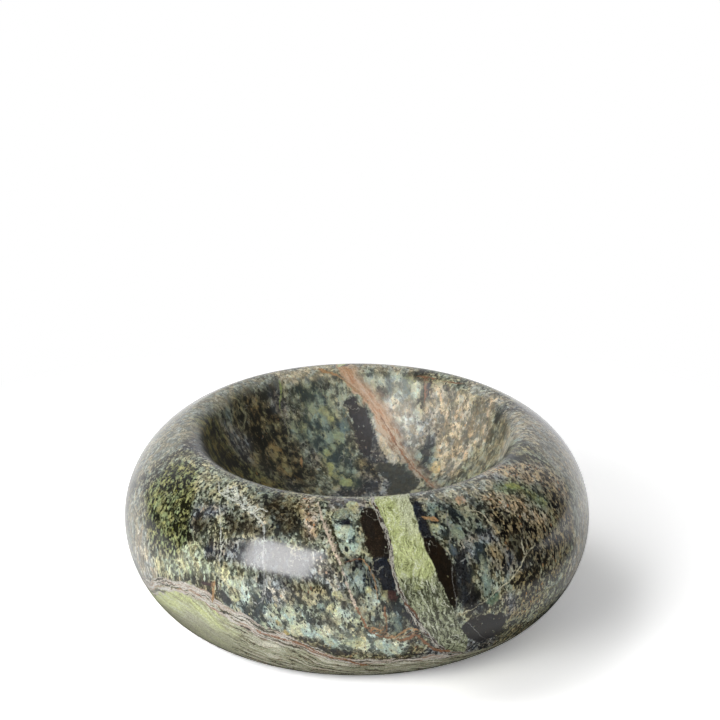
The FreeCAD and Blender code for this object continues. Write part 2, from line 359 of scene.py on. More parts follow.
# Patches of rock on the side that the photograph shows: pixel and half-width in pixels along each
SEEN_PATCHES = (
    # The rim patches carry painted sheen along the rim and the outline
    ("left rim sheen", ((150, 455, 16), (172, 428, 20), (205, 402, 16), (240, 384, 9), (290, 374, 6))),
    ("left rim sheen", ((133, 500, 6), (138, 545, 10), (150, 575, 8))),
    ("grey olive", ((180, 462, 18), (205, 474, 20), (225, 488, 16), (250, 494, 9))),
    ("olive fleck", ((178, 474, 17), (166, 496, 28), (168, 520, 28), (177, 544, 15))),
    ("grey olive", ((205, 492, 9), (214, 497, 6))),
    ("dark brown", ((198, 522, 9), (208, 526, 8))),
    ("dark brown", ((228, 516, 9), (240, 526, 11), (254, 524, 8))),
    ("dark brown", ((272, 506, 9), (288, 514, 13), (288, 530, 11))),
    ("dark brown", ((256, 502, 6), (262, 516, 8), (262, 534, 8))),
    ("lace", ((230, 489, 4), (240, 498, 5), (250, 505, 5), (258, 511, 5), (262, 518, 6), (263, 526, 4))),
    ("blue grey", ((210, 548, 10), (236, 552, 13), (262, 556, 12), (300, 566, 12), (312, 580, 8))),
    ("smooth grey", ((246, 551, 12), (276, 557, 15), (306, 567, 12))),
    ("yellow pale", ((150, 566, 7), (178, 562, 9), (202, 566, 9), (226, 576, 7))),
    ("cream", ((140, 536, 5), (142, 558, 8), (149, 576, 8))),
    ("yellow pale", ((184, 552, 5), (202, 552, 5))),
    ("pale celadon", ((226, 584, 7), (244, 588, 7), (256, 596, 6))),
    ("celadon", ((222, 596, 6), (240, 602, 8), (262, 612, 8))),
    ("celadon", ((236, 612, 6), (254, 622, 6), (272, 628, 6))),
    ("celadon", ((250, 604, 8), (276, 612, 9), (296, 620, 11), (310, 632, 9))),
    ("salt and pepper", ((268, 586, 9), (284, 594, 9))),
    ("brown olive", ((302, 592, 9), (318, 592, 9), (324, 602, 6))),
    ("salt and pepper", ((318, 556, 10), (326, 574, 11), (340, 590, 7))),
    ("tan patch", ((306, 500, 7), (312, 516, 8), (311, 533, 8))),
    ("purple grey", ((330, 502, 7), (350, 501, 7), (366, 504, 6))),
    ("teal", ((340, 514, 7), (346, 532, 9), (354, 552, 9))),
    ("teal", ((352, 576, 7), (366, 580, 9), (372, 600, 10), (362, 606, 6))),
    ("dark grey", ((357, 560, 7), (366, 573, 9), (371, 586, 7))),
    ("celadon", ((324, 607, 10), (340, 613, 10), (356, 620, 7))),
    ("pale celadon", ((322, 632, 8), (346, 640, 11), (374, 643, 11), (400, 649, 10))),
    ("dark grey", ((330, 624, 3), (314, 624, 4))),
    ("dim celadon", ((376, 612, 6), (378, 626, 6))),
    ("dim celadon", ((430, 508, 10), (444, 520, 13), (458, 534, 11))),
    ("dim celadon", ((458, 512, 9), (474, 524, 10))),
    ("dark grey", ((462, 560, 9), (466, 590, 11), (476, 608, 10))),
    ("teal", ((482, 546, 9), (485, 566, 7), (486, 588, 6))),
    ("dark grey", ((468, 598, 9), (482, 611, 8))),
    ("tan dark", ((496, 510, 13), (512, 534, 18), (540, 528, 18), (548, 552, 14))),
    ("tan dark", ((492, 544, 8), (500, 562, 10))),
    ("olive tan", ((518, 582, 14), (536, 580, 14), (530, 600, 12), (512, 608, 10))),
    ("blue grey", ((505, 598, 6), (512, 612, 6))),
    ("dark brown", ((515, 538, 9), (522, 553, 9))),
    ("olive tan", ((552, 566, 12), (562, 540, 12))),
    ("orange dash", ((486, 498, 8), (508, 502, 8), (526, 514, 8), (545, 516, 8))),
    ("orange dash", ((486, 472, 4), (512, 470, 8), (540, 472, 9), (562, 490, 9))),
    ("tan dark", ((548, 494, 6), (564, 512, 8), (570, 530, 7))),
    ("tan dark", ((536, 532, 10), (549, 538, 14), (556, 549, 9))),
    ("near rim sheen", ((424, 497, 4), (445, 495, 6), (466, 491, 8), (486, 484, 7))),
    ("right rim sheen", ((505, 440, 12), (522, 422, 13), (545, 438, 15), (568, 468, 12))),
    ("right rim sheen", ((582, 500, 4), (582, 540, 6), (574, 570, 7))),
    ("right rim sheen", ((470, 386, 7), (500, 402, 9))),
    ("green arc", ((498, 487, 4), (522, 491, 5), (545, 502, 4))),
    ("bowl olive", ((212, 430, 13), (216, 452, 16), (246, 474, 12), (280, 486, 8))),
    ("bowl brown", ((240, 408, 16), (262, 420, 20), (276, 448, 20), (296, 474, 15))),
    ("inner teal", ((306, 388, 15), (316, 410, 22), (328, 436, 21), (340, 466, 13), (352, 486, 9))),
    ("grey olive", ((284, 384, 8), (292, 398, 9), (296, 416, 7))),
    ("inner teal", ((297, 424, 9), (300, 438, 6))),
    ("bowl brown", ((362, 463, 7), (374, 474, 7))),
    ("grey celadon", ((368, 372, 7), (392, 382, 12), (414, 392, 11))),
    ("cream", ((392, 402, 10), (406, 418, 14), (418, 436, 12))),
    ("tan cream", ((436, 400, 16), (460, 414, 24), (458, 446, 22), (447, 472, 9))),
    ("tan cream", ((486, 406, 10), (482, 436, 10))),
    ("right wall", ((500, 430, 8), (496, 448, 10), (476, 464, 8))),
    ("far rim sheen", ((280, 374, 5), (305, 371, 7), (335, 368, 7), (365, 366, 5), (410, 367, 5), (455, 375, 5))),
)

# Colours of the lumps, lenses and veins
TONES = {
    "celadon": (184, 197, 182),
    "dim celadon": (138, 151, 138),
    "yellow": (188, 190, 154),
    "teal": (94, 112, 110),
    "blue": (92, 102, 108),
    "green": (92, 116, 96),
    "brown black": (38, 31, 25),
    "dark brown": (30, 23, 15),
    "blue black": (34, 37, 44),
    "dark grey": (40, 40, 42),
    "grey": (64, 64, 64),
    "black": (42, 40, 40),
    "maroon": (66, 50, 50),
    "olive black": (44, 43, 28),
    "bowl black": (42, 38, 40),
    "bowl floor": (60, 62, 58),
    "ochre": (190, 166, 102),
    "orange": (168, 132, 92),
    "pink tan": (180, 152, 126),
    "lime green": (146, 158, 98),
    "bowl lime": (166, 172, 122),
    "bowl tan": (212, 188, 140),
    "bowl cream": (206, 197, 178),
    "white line": (200, 202, 190),
    "grey line": (176, 178, 174),
    "dim line": (128, 128, 126),
    "tan line": (202, 186, 166),
    "rust line": (138, 98, 70),
    "dark rust": (106, 74, 56),
    "lime line": (196, 202, 164),
    "olive line": (132, 132, 104),
    "cream line": (214, 208, 178),
}
# Tones of the dark lenses, on which little grain shows
DARK_TONES = {"brown black", "dark brown", "blue black", "olive black", "bowl black", "black", "bowl floor",
              "grey", "maroon"}

# Lumps and lenses on the side that the photograph shows: tone, then pixel and half-width in pixels
SEEN_INLAYS = (
    ("brown black", ((367, 511, 6), (372, 524, 12), (377, 540, 12), (383, 554, 11))),
    ("blue black", ((380, 560, 11), (386, 572, 12), (391, 586, 9))),
    ("maroon", ((390, 590, 6), (395, 598, 5))),
    ("teal", ((386, 581, 4),)),
    ("celadon", ((338, 532, 7), (348, 533, 8))),
    ("celadon", ((349, 551, 7), (357, 549, 8))),
    ("yellow", ((350, 504, 4), (356, 505, 4))),
    ("dim celadon", ((336, 513, 4), (344, 512, 4))),
    ("dim celadon", ((357, 573, 4),)),
    ("dim celadon", ((366, 567, 3),)),
    ("yellow", ((368, 591, 5),)),
    ("yellow", ((384, 596, 5),)),
    ("yellow", ((334, 595, 4), (340, 595, 4))),
    ("blue black", ((340, 519, 2), (347, 524, 4))),
    ("olive black", ((330, 522, 2), (335, 538, 2), (342, 556, 2))),
    ("blue black", ((417, 503, 4), (420, 516, 5), (425, 531, 5), (430, 541, 5))),
    ("dim celadon", ((430, 504, 4), (434, 510, 4))),
    ("orange", ((424, 517, 1.5), (430, 518, 2), (437, 520, 1.5))),
    ("yellow", ((431, 526, 3), (437, 528, 4))),
    ("dim celadon", ((455, 530, 6), (462, 536, 5))),
    ("blue", ((452, 546, 3), (455, 553, 4))),
    ("pink tan", ((458, 500, 4), (464, 499, 3))),
    ("dark brown", ((428, 538, 5), (434, 549, 9), (439, 562, 12), (444, 578, 11), (450, 594, 8),
                    (454, 606, 4))),
    ("dark grey", ((458, 556, 4), (463, 570, 8), (466, 588, 9), (466, 604, 7))),
    ("dim celadon", ((481, 557, 3), (484, 568, 4), (486, 581, 5), (487, 593, 5))),
    ("yellow", ((477, 567, 3),)),
    ("green", ((491, 601, 5), (497, 597, 4))),
    ("black", ((467, 626, 9), (477, 629, 14), (488, 629, 14), (498, 624, 9))),
    ("lime green", ((505, 486, 2), (512, 486, 3), (519, 488, 2))),
    ("olive black", ((223, 617, 1.5), (231, 620, 2.6), (240, 624, 2))),
    ("olive black", ((220, 611, 0.8), (228, 614, 1))),
    ("olive black", ((242, 626, 1), (248, 629, 1.2))),
    ("maroon", ((203, 583, 1.5), (212, 585, 2))),
    ("maroon", ((246, 638, 2), (250, 640, 1.5))),
    ("grey", ((221, 594, 4), (229, 602, 4))),
    ("ochre", ((279, 623, 4),)),
    ("ochre", ((285, 632, 3.5),)),
    ("celadon", ((303, 631, 2.5), (311, 636, 3))),
    ("celadon", ((316, 631, 2), (326, 639, 4), (336, 645, 4))),
    ("yellow", ((346, 641, 4), (354, 644, 5), (362, 641, 4))),
    ("celadon", ((377, 643, 4), (388, 647, 5), (397, 652, 5))),
    ("celadon", ((284, 612, 4), (293, 617, 5))),
    ("dim celadon", ((318, 607, 4), (324, 606, 3))),
    ("celadon", ((228, 583, 4), (239, 585, 5))),
    ("dark grey", ((322, 648, 2), (335, 653, 3), (350, 653, 2))),
    ("teal", ((396, 619, 5), (400, 630, 5))),
    ("blue black", ((404, 613, 3), (409, 618, 3), (419, 629, 3))),
    ("bowl black", ((349, 402, 6), (357, 414, 9), (363, 428, 10), (366, 440, 9), (368, 452, 6))),
    ("bowl floor", ((380, 466, 6), (396, 475, 10), (413, 483, 9), (394, 488, 8))),
    ("bowl lime", ((326, 452, 5),)),
    ("bowl lime", ((331, 418, 4),)),
    ("bowl lime", ((330, 464, 4), (332, 474, 3))),
    ("bowl lime", ((343, 482, 4), (348, 483, 5))),
    ("teal", ((343, 409, 3), (344, 430, 5))),
    ("bowl tan", ((436, 463, 4), (437, 472, 4))),
    ("bowl cream", ((374, 418, 3), (380, 438, 4), (388, 452, 5), (396, 462, 4))),
    ("grey", ((442, 388, 3), (448, 390, 2))),
    ("grey", ((428, 386, 2), (427, 395, 2))),
    ("grey", ((424, 452, 3), (432, 455, 2))),
    ("grey", ((424, 465, 3), (429, 474, 3))),
    ("orange", ((302, 460, 1.5), (302, 465, 1.5))),
)

# The lime band, the layered band under it and the broken band in the bowl: pixel and half-width in pixels
LIME_BAND = (
    (391, 498, 17), (398, 515, 16), (404, 530, 16), (408, 545, 17), (411, 560, 18),
    (418, 580, 20), (428, 600, 21), (439, 620, 18), (449, 635, 14), (458, 646, 11),
)
LAYERED_BAND = (
    (150, 586, 6), (172, 585, 5), (191, 590, 6), (209, 600, 6), (225, 611, 6), (245, 622, 7),
    (264, 633, 7), (289, 642, 6), (303, 646, 5), (316, 652, 4), (331, 658, 3), (350, 661, 3),
    (375, 662, 2), (400, 660, 2), (430, 657, 2), (455, 655, 2),
)
INNER_BAND = (
    (346, 369, 7), (353, 380, 9), (362, 391, 7), (373, 402, 8), (381, 413, 9), (388, 428, 9),
    (396, 443, 8), (405, 456, 6), (416, 470, 4), (427, 482, 3), (434, 489, 2),
)

# Rocks that run into the ones beside them
SOFT_ROCKS = {"left rim sheen", "right rim sheen", "near rim sheen", "far rim sheen", "bowl olive", "bowl brown", "cream",
              "tan cream"}

# Veins: tone, half-width in pixels, then the path in pixels
SEEN_VEINS = (
    ("tan line", 1.4, ((317, 503), (323, 520), (330, 540), (336, 553), (341, 565), (346, 579),
                       (351, 595), (356, 607))),
    ("rust line", 1.3, ((356, 607), (361, 618), (366, 627), (373, 633), (380, 637), (392, 637),
                        (402, 640), (410, 639))),
    ("rust line", 1.3, ((410, 639), (414, 634), (420, 637), (425, 643), (432, 648), (440, 651), (448, 651))),
    ("rust line", 1.0, ((385, 606), (386, 613), (388, 624), (387, 637))),
    ("orange", 0.9, ((372, 627), (384, 631), (396, 637), (404, 632), (411, 628), (418, 630))),
    ("dark rust", 1.3, ((405, 603), (410, 609), (415, 613), (418, 619))),
    ("orange", 0.7, ((363, 560), (369, 568), (373, 578), (376, 590), (377, 598))),
    ("dark rust", 0.7, ((343, 563), (352, 561), (361, 559))),
    ("orange", 1.3, ((215, 578), (214, 590), (212, 600))),
    ("rust line", 0.9, ((258, 632), (275, 637), (290, 641), (302, 645), (315, 651), (330, 657),
                        (346, 660), (366, 665))),
    ("rust line", 0.7, ((256, 630), (270, 635), (282, 640), (296, 642))),
    ("white line", 0.8, ((219, 508), (220, 520), (221, 535), (222, 547), (220, 560))),
    ("white line", 0.5, ((228, 538), (222, 546))),
    ("grey line", 0.5, ((220, 560), (221, 575), (219, 590))),
    ("lime line", 0.5, ((172, 555), (182, 551), (190, 546), (196, 544), (201, 548), (204, 556),
                        (198, 561), (189, 559))),
    ("lime line", 0.5, ((196, 544), (192, 538), (194, 532))),
    ("lime line", 0.5, ((204, 556), (209, 563), (213, 572), (214, 580))),
    ("white line", 0.9, ((227, 486), (228, 497), (235, 500), (240, 505), (247, 510), (254, 513),
                         (260, 518), (263, 524))),
    ("white line", 0.8, ((236, 486), (238, 497), (241, 505), (249, 507), (256, 507))),
    ("white line", 0.7, ((254, 513), (262, 508), (268, 511))),
    ("white line", 0.7, ((217, 480), (219, 492), (226, 496))),
    ("grey line", 0.9, ((263, 524), (263, 534), (263, 541))),
    ("dim line", 0.8, ((263, 541), (264, 560), (264, 580), (263, 600))),
    ("grey line", 0.5, ((263, 600), (258, 605), (253, 602), (252, 594))),
    ("grey line", 0.5, ((340, 563), (345, 575), (350, 590))),
    ("white line", 0.5, ((316, 540), (322, 547), (317, 552), (312, 549))),
    ("dim line", 0.5, ((442, 499), (446, 514), (449, 530), (450, 545), (451, 560), (453, 580),
                       (456, 596), (456, 608))),
    ("cream line", 0.7, ((521, 540), (524, 549), (525, 556), (521, 566), (515, 574), (509, 582),
                         (502, 587), (495, 593))),
    ("cream line", 0.6, ((495, 593), (489, 598), (482, 603), (473, 609), (462, 613))),
    ("cream line", 0.4, ((536, 544), (530, 549), (525, 556))),
    ("cream line", 0.5, ((466, 509), (478, 511), (485, 516), (491, 525), (496, 533))),
    ("grey line", 0.5, ((460, 563), (467, 559), (473, 558))),
    ("dim line", 0.4, ((466, 622), (473, 629), (480, 636), (492, 642))),
    ("olive line", 0.6, ((502, 637), (512, 628), (522, 618))),
    ("olive line", 0.6, ((536, 594), (548, 590), (558, 584))),
    ("lime green", 0.9, ((279, 380), (281, 394), (279, 408))),
    ("olive line", 0.7, ((279, 408), (285, 418), (288, 428), (289, 446))),
    ("olive line", 0.6, ((290, 410), (296, 420), (300, 430))),
    ("olive line", 0.7, ((235, 396), (242, 406), (246, 414), (244, 428))),
    ("rust line", 0.9, ((381, 416), (389, 432), (397, 446), (406, 459), (418, 472), (432, 487))),
    ("rust line", 0.9, ((418, 376), (432, 378), (447, 382), (462, 384))),
    ("orange", 1.6, ((322, 370), (334, 374), (346, 381), (357, 392), (368, 402))),
    ("rust line", 0.9, ((424, 380), (425, 392), (424, 402))),
)

# On round to the sides that the photograph doesn't show: degrees from the front, height and half-width
LIME_BEHIND = ((184, 44, 3.6), (182, 36, 4.2), (178, 26, 4.6), (174, 16, 4.8), (171, 7, 4.2), (169, 2, 3.4))
LAYERS_ROUND_BACK = (
    (142, 3, 1.0), (160, 7, 1.6), (182, 10, 1.8), (206, 12, 1.6), (230, 11, 1.6), (252, 9, 1.6),
)
# On into the near wall of the bowl: across, back and half-width
LIME_INSIDE = ((8.2, -38.0, 4.2), (8.8, -34.0, 3.8), (9.6, -29.0, 2.8), (10.4, -23.0, 1.4))
INNER_NEARER = ((20.0, -22.0, 1.0), (21.0, -28.0, 0.8))


# The skin's ripples as size and height, and how it is searched, in millimetres
BROAD_RIPPLE = (6.0, 1.3)
FINE_RIPPLE = (2.2, 0.45)
STEADY_SHARE = 0.35
OUTSIDE = 200.0
ABOVE = 100.0
JUST_OFF = 0.05
WELL_ROUND = 4.0
END_TAPER = 0.6
LEAST_LENGTH = 1e-6

# Borders of patches, lumps and lenses, and how far beside a path each kind is worked out, in millimetres
PATCH_BORDER = 1.3
SOFT_BORDER = 2.6
THINNEST_LUMP = 0.6
LEAST_RAGGED = 0.3
FULLY_RAGGED_FROM = 1.8
LUMP_MARGIN = 3.0
VEIN_MARGIN = 1.5
BAND_MARGIN = 6.0
SLAB_MARGIN = 16.0

# Share of the rock's grain that shows on dark lenses and on pale lumps
GRAIN_ON_DARK = 0.12
GRAIN_ON_PALE = 0.7

# The slow change of rock: its size in millimetres, and where in its noise another rock sets in
GROUND_SIZE = 17.0
GROUND_LEVEL = 0.16
GROUND_BORDER = 0.10
GROUND_ROCKS = ("dim celadon", "brown olive", "blue grey", "grey olive")

# One seed for the ripples and for what chance puts on the sides that the photograph doesn't show
SEED = 21

# What chance puts there, in millimetres and radians
Scatter = namedtuple("Scatter", "kinds count half_widths steps stride turning")
PATCHES = Scatter(
    ("olive fleck", "grey olive", "dark brown", "blue grey", "yellow pale", "celadon", "dim celadon",
     "pale celadon", "teal", "tan dark", "olive tan", "salt and pepper", "brown olive"),
    count=110, half_widths=(2.0, 5.5), steps=3, stride=5.0, turning=0.5)
LUMPS = Scatter(
    ("celadon", "dim celadon", "yellow", "teal", "blue", "ochre", "celadon", "dim celadon"),
    count=120, half_widths=(0.6, 1.6), steps=2, stride=1.6, turning=0.9)
LENSES = Scatter(
    ("brown black", "dark brown", "blue black", "dark grey", "maroon", "olive black"),
    count=44, half_widths=(0.8, 2.6), steps=4, stride=3.2, turning=0.4)
VEIN_TONES = ("white line", "grey line", "dim line", "tan line", "rust line", "lime line", "cream line",
              "rust line")
VEIN_COUNT = 64
VEIN_STEPS = (4, 9)
VEIN_STRIDE = 3.4
VEIN_TURNING = 0.6
VEIN_WIDTH = 0.17
WIDTH_SWING = (0.6, 1.4)
STEP_BACK = 0.2


class Surface:
    """The turned stone's skin in millimetres: finds where a path lies on it, and what is near a path."""

    def __init__(self, mesh, camera):
        count = len(mesh.vertices)
        flat = np.empty(count * 3)
        mesh.vertices.foreach_get("co", flat)
        self.points = flat.reshape(-1, 3) / MM
        mesh.vertices.foreach_get("normal", flat)
        self.normals = flat.reshape(-1, 3).copy()
        faces = [tuple(face.vertices) for face in mesh.polygons]
        self.skin = BVHTree.FromPolygons([Vector(p) for p in self.points], faces)
        self.eye = camera.matrix_world.translation / MM
        self.turn = camera.matrix_world.to_3x3()
        noise.seed_set(SEED)
        ripples = self.ripple(*BROAD_RIPPLE) + self.ripple(*FINE_RIPPLE)
        self.rippled = self.points + ripples
        self.steady = self.points + STEADY_SHARE * ripples

    def ripple(self, size, height):
        """A smooth random push for each point, so that no border runs dead straight."""
        return height * np.array([noise.noise_vector(Vector(p) / size) for p in self.points])

    def in_photo(self, x, y):
        """The point of the stone that a pixel of the photograph shows."""
        span = SENSOR / LENS
        across = (x - PICTURE_SIZE / 2) / PICTURE_SIZE * span
        down = (y - PICTURE_SIZE / 2) / PICTURE_SIZE * span
        hit = self.skin.ray_cast(self.eye, self.turn @ Vector((across, -down, -1.0)))[0]
        return None if hit is None else np.array(hit)

    def photo_path(self, steps):
        """A path of (x, y, half-width) in pixels, as points on the stone and half-widths in millimetres."""
        if len(steps) == 1:
            x, y, width = steps[0]
            steps = ((x - 0.5, y, width), (x + 0.5, y, width))
        points, widths = [], []
        for index, (x, y, width) in enumerate(steps):
            before = steps[max(index - 1, 0)]
            after = steps[min(index + 1, len(steps) - 1)]
            run = np.array((after[0] - before[0], after[1] - before[1]), float)
            run /= max(np.linalg.norm(run), LEAST_LENGTH)
            middle = self.in_photo(x, y)
            if middle is None:
                continue
            sides = [self.in_photo(x - sign * run[1] * width, y + sign * run[0] * width) for sign in (-1, 1)]
            reach = [np.linalg.norm(side - middle) for side in sides if side is not None]
            points.append(middle)
            widths.append(min(reach) if reach else width * PIXEL)
        return np.array(points), np.array(widths)

    def side_path(self, steps):
        """A path round the outside, of (degrees from the front, height, half-width)."""
        points = []
        for turn, height, _ in steps:
            way = Vector((math.sin(math.radians(turn)), -math.cos(math.radians(turn)), 0.0))
            points.append(self.skin.ray_cast(OUTSIDE * way + Vector((0, 0, height)), -way)[0])
        return np.array(points), np.array([width for _, _, width in steps])

    def bowl_path(self, steps):
        """A path in the bowl, of (across, back, half-width), found from above."""
        down = Vector((0, 0, -1))
        points = [self.skin.ray_cast(Vector((x, y, ABOVE)), down)[0] for x, y, _ in steps]
        return np.array(points), np.array([width for _, _, width in steps])

    def shows(self, spot):
        """Whether the photograph shows a point of the skin."""
        way = (self.eye - spot).normalized()
        return self.skin.ray_cast(spot + JUST_OFF * way, way)[0] is None

    def well_hidden(self, spot, normal):
        """Whether a point lies well round the back of what the photograph shows."""
        return not self.shows(spot + WELL_ROUND * normal)

    def along(self, path, widths, reach, steady=False):
        """Points near a path: which they are, gap to it, side (left is negative), half-width and travel."""
        spots = self.steady if steady else self.rippled
        low, high = path.min(axis=0) - reach, path.max(axis=0) + reach
        near = np.flatnonzero(np.all((spots > low) & (spots < high), axis=1))
        points, normals = spots[near], self.normals[near]
        gap = np.full(len(near), np.inf)
        side, width, travel = np.zeros(len(near)), np.zeros(len(near)), np.zeros(len(near))
        walked = 0.0
        for index in range(len(path) - 1):
            run = path[index + 1] - path[index]
            length = max(np.linalg.norm(run), LEAST_LENGTH)
            heading = run / length
            offset = points - path[index]
            share = np.clip(offset @ heading / length, 0, 1)
            offset = offset - (share * length)[:, None] * heading
            distance = np.linalg.norm(offset, axis=1)
            across = np.cross(normals, heading)
            across /= np.maximum(np.linalg.norm(across, axis=1), LEAST_LENGTH)[:, None]
            closer = distance < gap
            sideways = np.einsum("ij,ij->i", offset, across)
            # Past the ends of the path it narrows to a tip
            beyond = np.sqrt(np.maximum(distance**2 - sideways**2, 0))
            here = widths[index] * (1 - share) + widths[index + 1] * share - END_TAPER * beyond
            gap[closer] = distance[closer]
            side[closer] = sideways[closer]
            width[closer] = here[closer]
            travel[closer] = (walked + share * length)[closer]
            walked += length
        keep = gap < reach
        return near[keep], gap[keep], side[keep], width[keep], travel[keep]


def soft_edge(gap, soft):
    """1 well inside, 0 well outside, for a gap measured from the border outward."""
    share = np.clip(0.5 - gap / (2 * soft), 0, 1)
    return share * share * (3 - 2 * share)


class Figure:
    """What each point of the stone is made of: kept as mesh attributes that the marble's material reads."""

    def __init__(self, surface):
        self.surface = surface
        count = len(surface.points)
        # Every point starts well away from a lump, a vein or a band
        self.ground = np.zeros((count, 3))
        self.pale = np.zeros((count, 3))
        self.spice = np.zeros((count, 3))
        self.grain = np.zeros((count, 4))
        self.inlay = np.tile((6.0, 0.5, 1.0), (count, 1))
        self.inlay_colour = np.zeros((count, 3))
        self.vein = np.tile((4.0, -1.0), (count, 1))
        self.vein_gap = np.full(count, np.inf)
        self.vein_colour = np.zeros((count, 3))
        self.lime = np.tile((30.0, -6.0, 0.0), (count, 1))
        self.layers = np.tile((30.0, -6.0, 0.0, 1.0), (count, 1))

    def lay(self, name, where, strength):
        """Rock of one kind, laid over what is there."""
        kind = ROCKS[name]
        strength = strength[:, None]
        traits = np.array((kind.cover, kind.coarse, kind.dust, kind.specks))
        for field, value in ((self.ground, kind.ground), (self.pale, kind.pale), (self.spice, kind.spice),
                             (self.grain, traits)):
            field[where] = field[where] * (1 - strength) + np.array(value) * strength

    def lay_ground_mass(self):
        """Rock everywhere, changing slowly from place to place."""
        everywhere = np.arange(len(self.surface.points))
        self.lay("ground mass", everywhere, np.ones(len(everywhere)))
        for number, name in enumerate(GROUND_ROCKS):
            shift = Vector((37.0 * number, 11.0, 5.0))
            level = np.array([noise.noise(Vector(p) / GROUND_SIZE + shift) for p in self.surface.rippled])
            self.lay(name, everywhere, soft_edge(GROUND_LEVEL - level, GROUND_BORDER))

    def patch(self, name, path, widths):
        soft = SOFT_BORDER if name in SOFT_ROCKS else PATCH_BORDER
        where, gap, _, width, _ = self.surface.along(path, widths, widths.max() + 2 * soft)
        self.lay(name, where, soft_edge(gap - width, soft))

    def set_inlay(self, tone, path, widths):
        """A lump or lens: its border, how ragged that is, and how much of the rock's grain shows on it."""
        if widths.max() < THINNEST_LUMP:
            return self.draw_vein(tone, path, widths)
        where, gap, _, width, _ = self.surface.along(path, widths, widths.max() + LUMP_MARGIN, True)
        border = gap - width
        closer = border < self.inlay[where, 0]
        where = where[closer]
        self.inlay[where, 0] = border[closer]
        self.inlay[where, 1] = min(max(widths.max() / FULLY_RAGGED_FROM, LEAST_RAGGED), 1.0)
        self.inlay[where, 2] = GRAIN_ON_DARK if tone in DARK_TONES else GRAIN_ON_PALE
        self.inlay_colour[where] = paint(*TONES[tone])[:3]

    def draw_vein(self, tone, path, widths):
        where, gap, side, width, _ = self.surface.along(path, widths, widths.max() + VEIN_MARGIN, True)
        closer = gap < self.vein_gap[where]
        where = where[closer]
        self.vein_gap[where] = gap[closer]
        self.vein[where] = np.stack((side[closer], width[closer]), axis=1)
        self.vein_colour[where] = paint(*TONES[tone])[:3]

    def band(self, field, path, widths, margin=BAND_MARGIN, kind=1.0):
        where, _, side, width, travel = self.surface.along(path, widths, widths.max() + margin, True)
        values = np.stack((side, width, travel, np.full(len(where), kind)), axis=1)
        field[where] = values[:, :field.shape[1]]

    def store(self, mesh):
        """Keep the figure on the mesh, each field as a colour with four parts."""
        fields = {
            "ground": self.ground, "pale": self.pale, "spice": self.spice, "grain": self.grain,
            "inlay": self.inlay, "inlay_colour": self.inlay_colour, "vein": self.vein,
            "vein_colour": self.vein_colour, "lime": self.lime, "layers": self.layers,
        }
        for name, values in fields.items():
            full = np.ones((len(values), 4))
            full[:, :values.shape[1]] = values
            mesh.attributes.new(name, "FLOAT_COLOR", "POINT").data.foreach_set("color", full.ravel())


class Wanderer:
    """Paths by chance over the sides that the photograph doesn't show, with a fixed seed."""

    def __init__(self, surface, seed):
        self.surface = surface
        self.chance = random.Random(seed)
        spots = [(Vector(point), Vector(normal)) for point, normal in zip(surface.points, surface.normals)]
        self.starts = [spot for spot, normal in spots if surface.well_hidden(spot, normal)]

    def path(self, steps, stride, turning, width):
        """A path that sets off along the beds, either way, and wanders."""
        skin, chance = self.surface.skin, self.chance
        spot = chance.choice(self.starts)
        beds = Vector(STRIKE) if spot.xy.length < BOWL_REACH else Vector(DIP)
        heading = beds * chance.choice((-1, 1))
        spots = []
        for _ in range(steps):
            spot, normal = skin.find_nearest(spot)[:2]
            if spots and not self.surface.well_hidden(spot, normal):
                spots.append(spots[-1] - STEP_BACK * heading)
                break
            spots.append(spot)
            heading = Matrix.Rotation(chance.uniform(-turning, turning), 3, normal) @ heading
            heading = (heading - heading.dot(normal) * normal).normalized()
            spot = spot + stride * heading
        return np.array(spots), np.array([width * chance.uniform(*WIDTH_SWING) for _ in spots])


def draw_unseen_figure(figure, surface):
    """Rock, lumps, lenses and veins of the same kinds on the sides that the photograph doesn't show."""
    wanderer = Wanderer(surface, SEED)
    chance = wanderer.chance
    for draw, sort in ((figure.patch, PATCHES), (figure.set_inlay, LUMPS), (figure.set_inlay, LENSES)):
        for _ in range(sort.count):
            kind, width = chance.choice(sort.kinds), chance.uniform(*sort.half_widths)
            draw(kind, *wanderer.path(sort.steps, sort.stride, sort.turning, width))
    for _ in range(VEIN_COUNT):
        tone, steps = chance.choice(VEIN_TONES), chance.randint(*VEIN_STEPS)
        figure.draw_vein(tone, *wanderer.path(steps, VEIN_STRIDE, VEIN_TURNING, VEIN_WIDTH))


def joined(first, second):
    """Two paths as one, each with its points and half-widths."""
    return np.concatenate((first[0], second[0])), np.concatenate((first[1], second[1]))


def draw_figure(mesh, camera):
    """Rock, lumps, veins and bands, drawn on the stone and kept on its mesh."""
    surface = Surface(mesh, camera)
    figure = Figure(surface)
    figure.lay_ground_mass()
    draw_unseen_figure(figure, surface)
    for name, steps in SEEN_PATCHES:
        figure.patch(name, *surface.photo_path(steps))
    for tone, steps in SEEN_INLAYS:
        figure.set_inlay(tone, *surface.photo_path(steps))
    for tone, width, steps in SEEN_VEINS:
        figure.draw_vein(tone, *surface.photo_path([(x, y, width) for x, y in steps]))

    figure.band(figure.lime, *surface.side_path(LIME_BEHIND))
    figure.band(figure.lime, *joined(surface.bowl_path(LIME_INSIDE[::-1]), surface.photo_path(LIME_BAND)))
    layers = joined(surface.side_path(LAYERS_ROUND_BACK), surface.photo_path(LAYERED_BAND))
    figure.band(figure.layers, *layers, margin=SLAB_MARGIN)
    inner = joined(surface.photo_path(INNER_BAND), surface.bowl_path(INNER_NEARER))
    figure.band(figure.layers, *inner, kind=0.0)
    figure.store(mesh)


# Materials

# How far the hue of a single grain is from its rock's
WARM_GRAIN = (1.10, 1.00, 0.84, 1.0)
COOL_GRAIN = (0.92, 1.00, 1.08, 1.0)
GREEN_GRAIN = (0.98, 1.04, 0.86, 1.0)

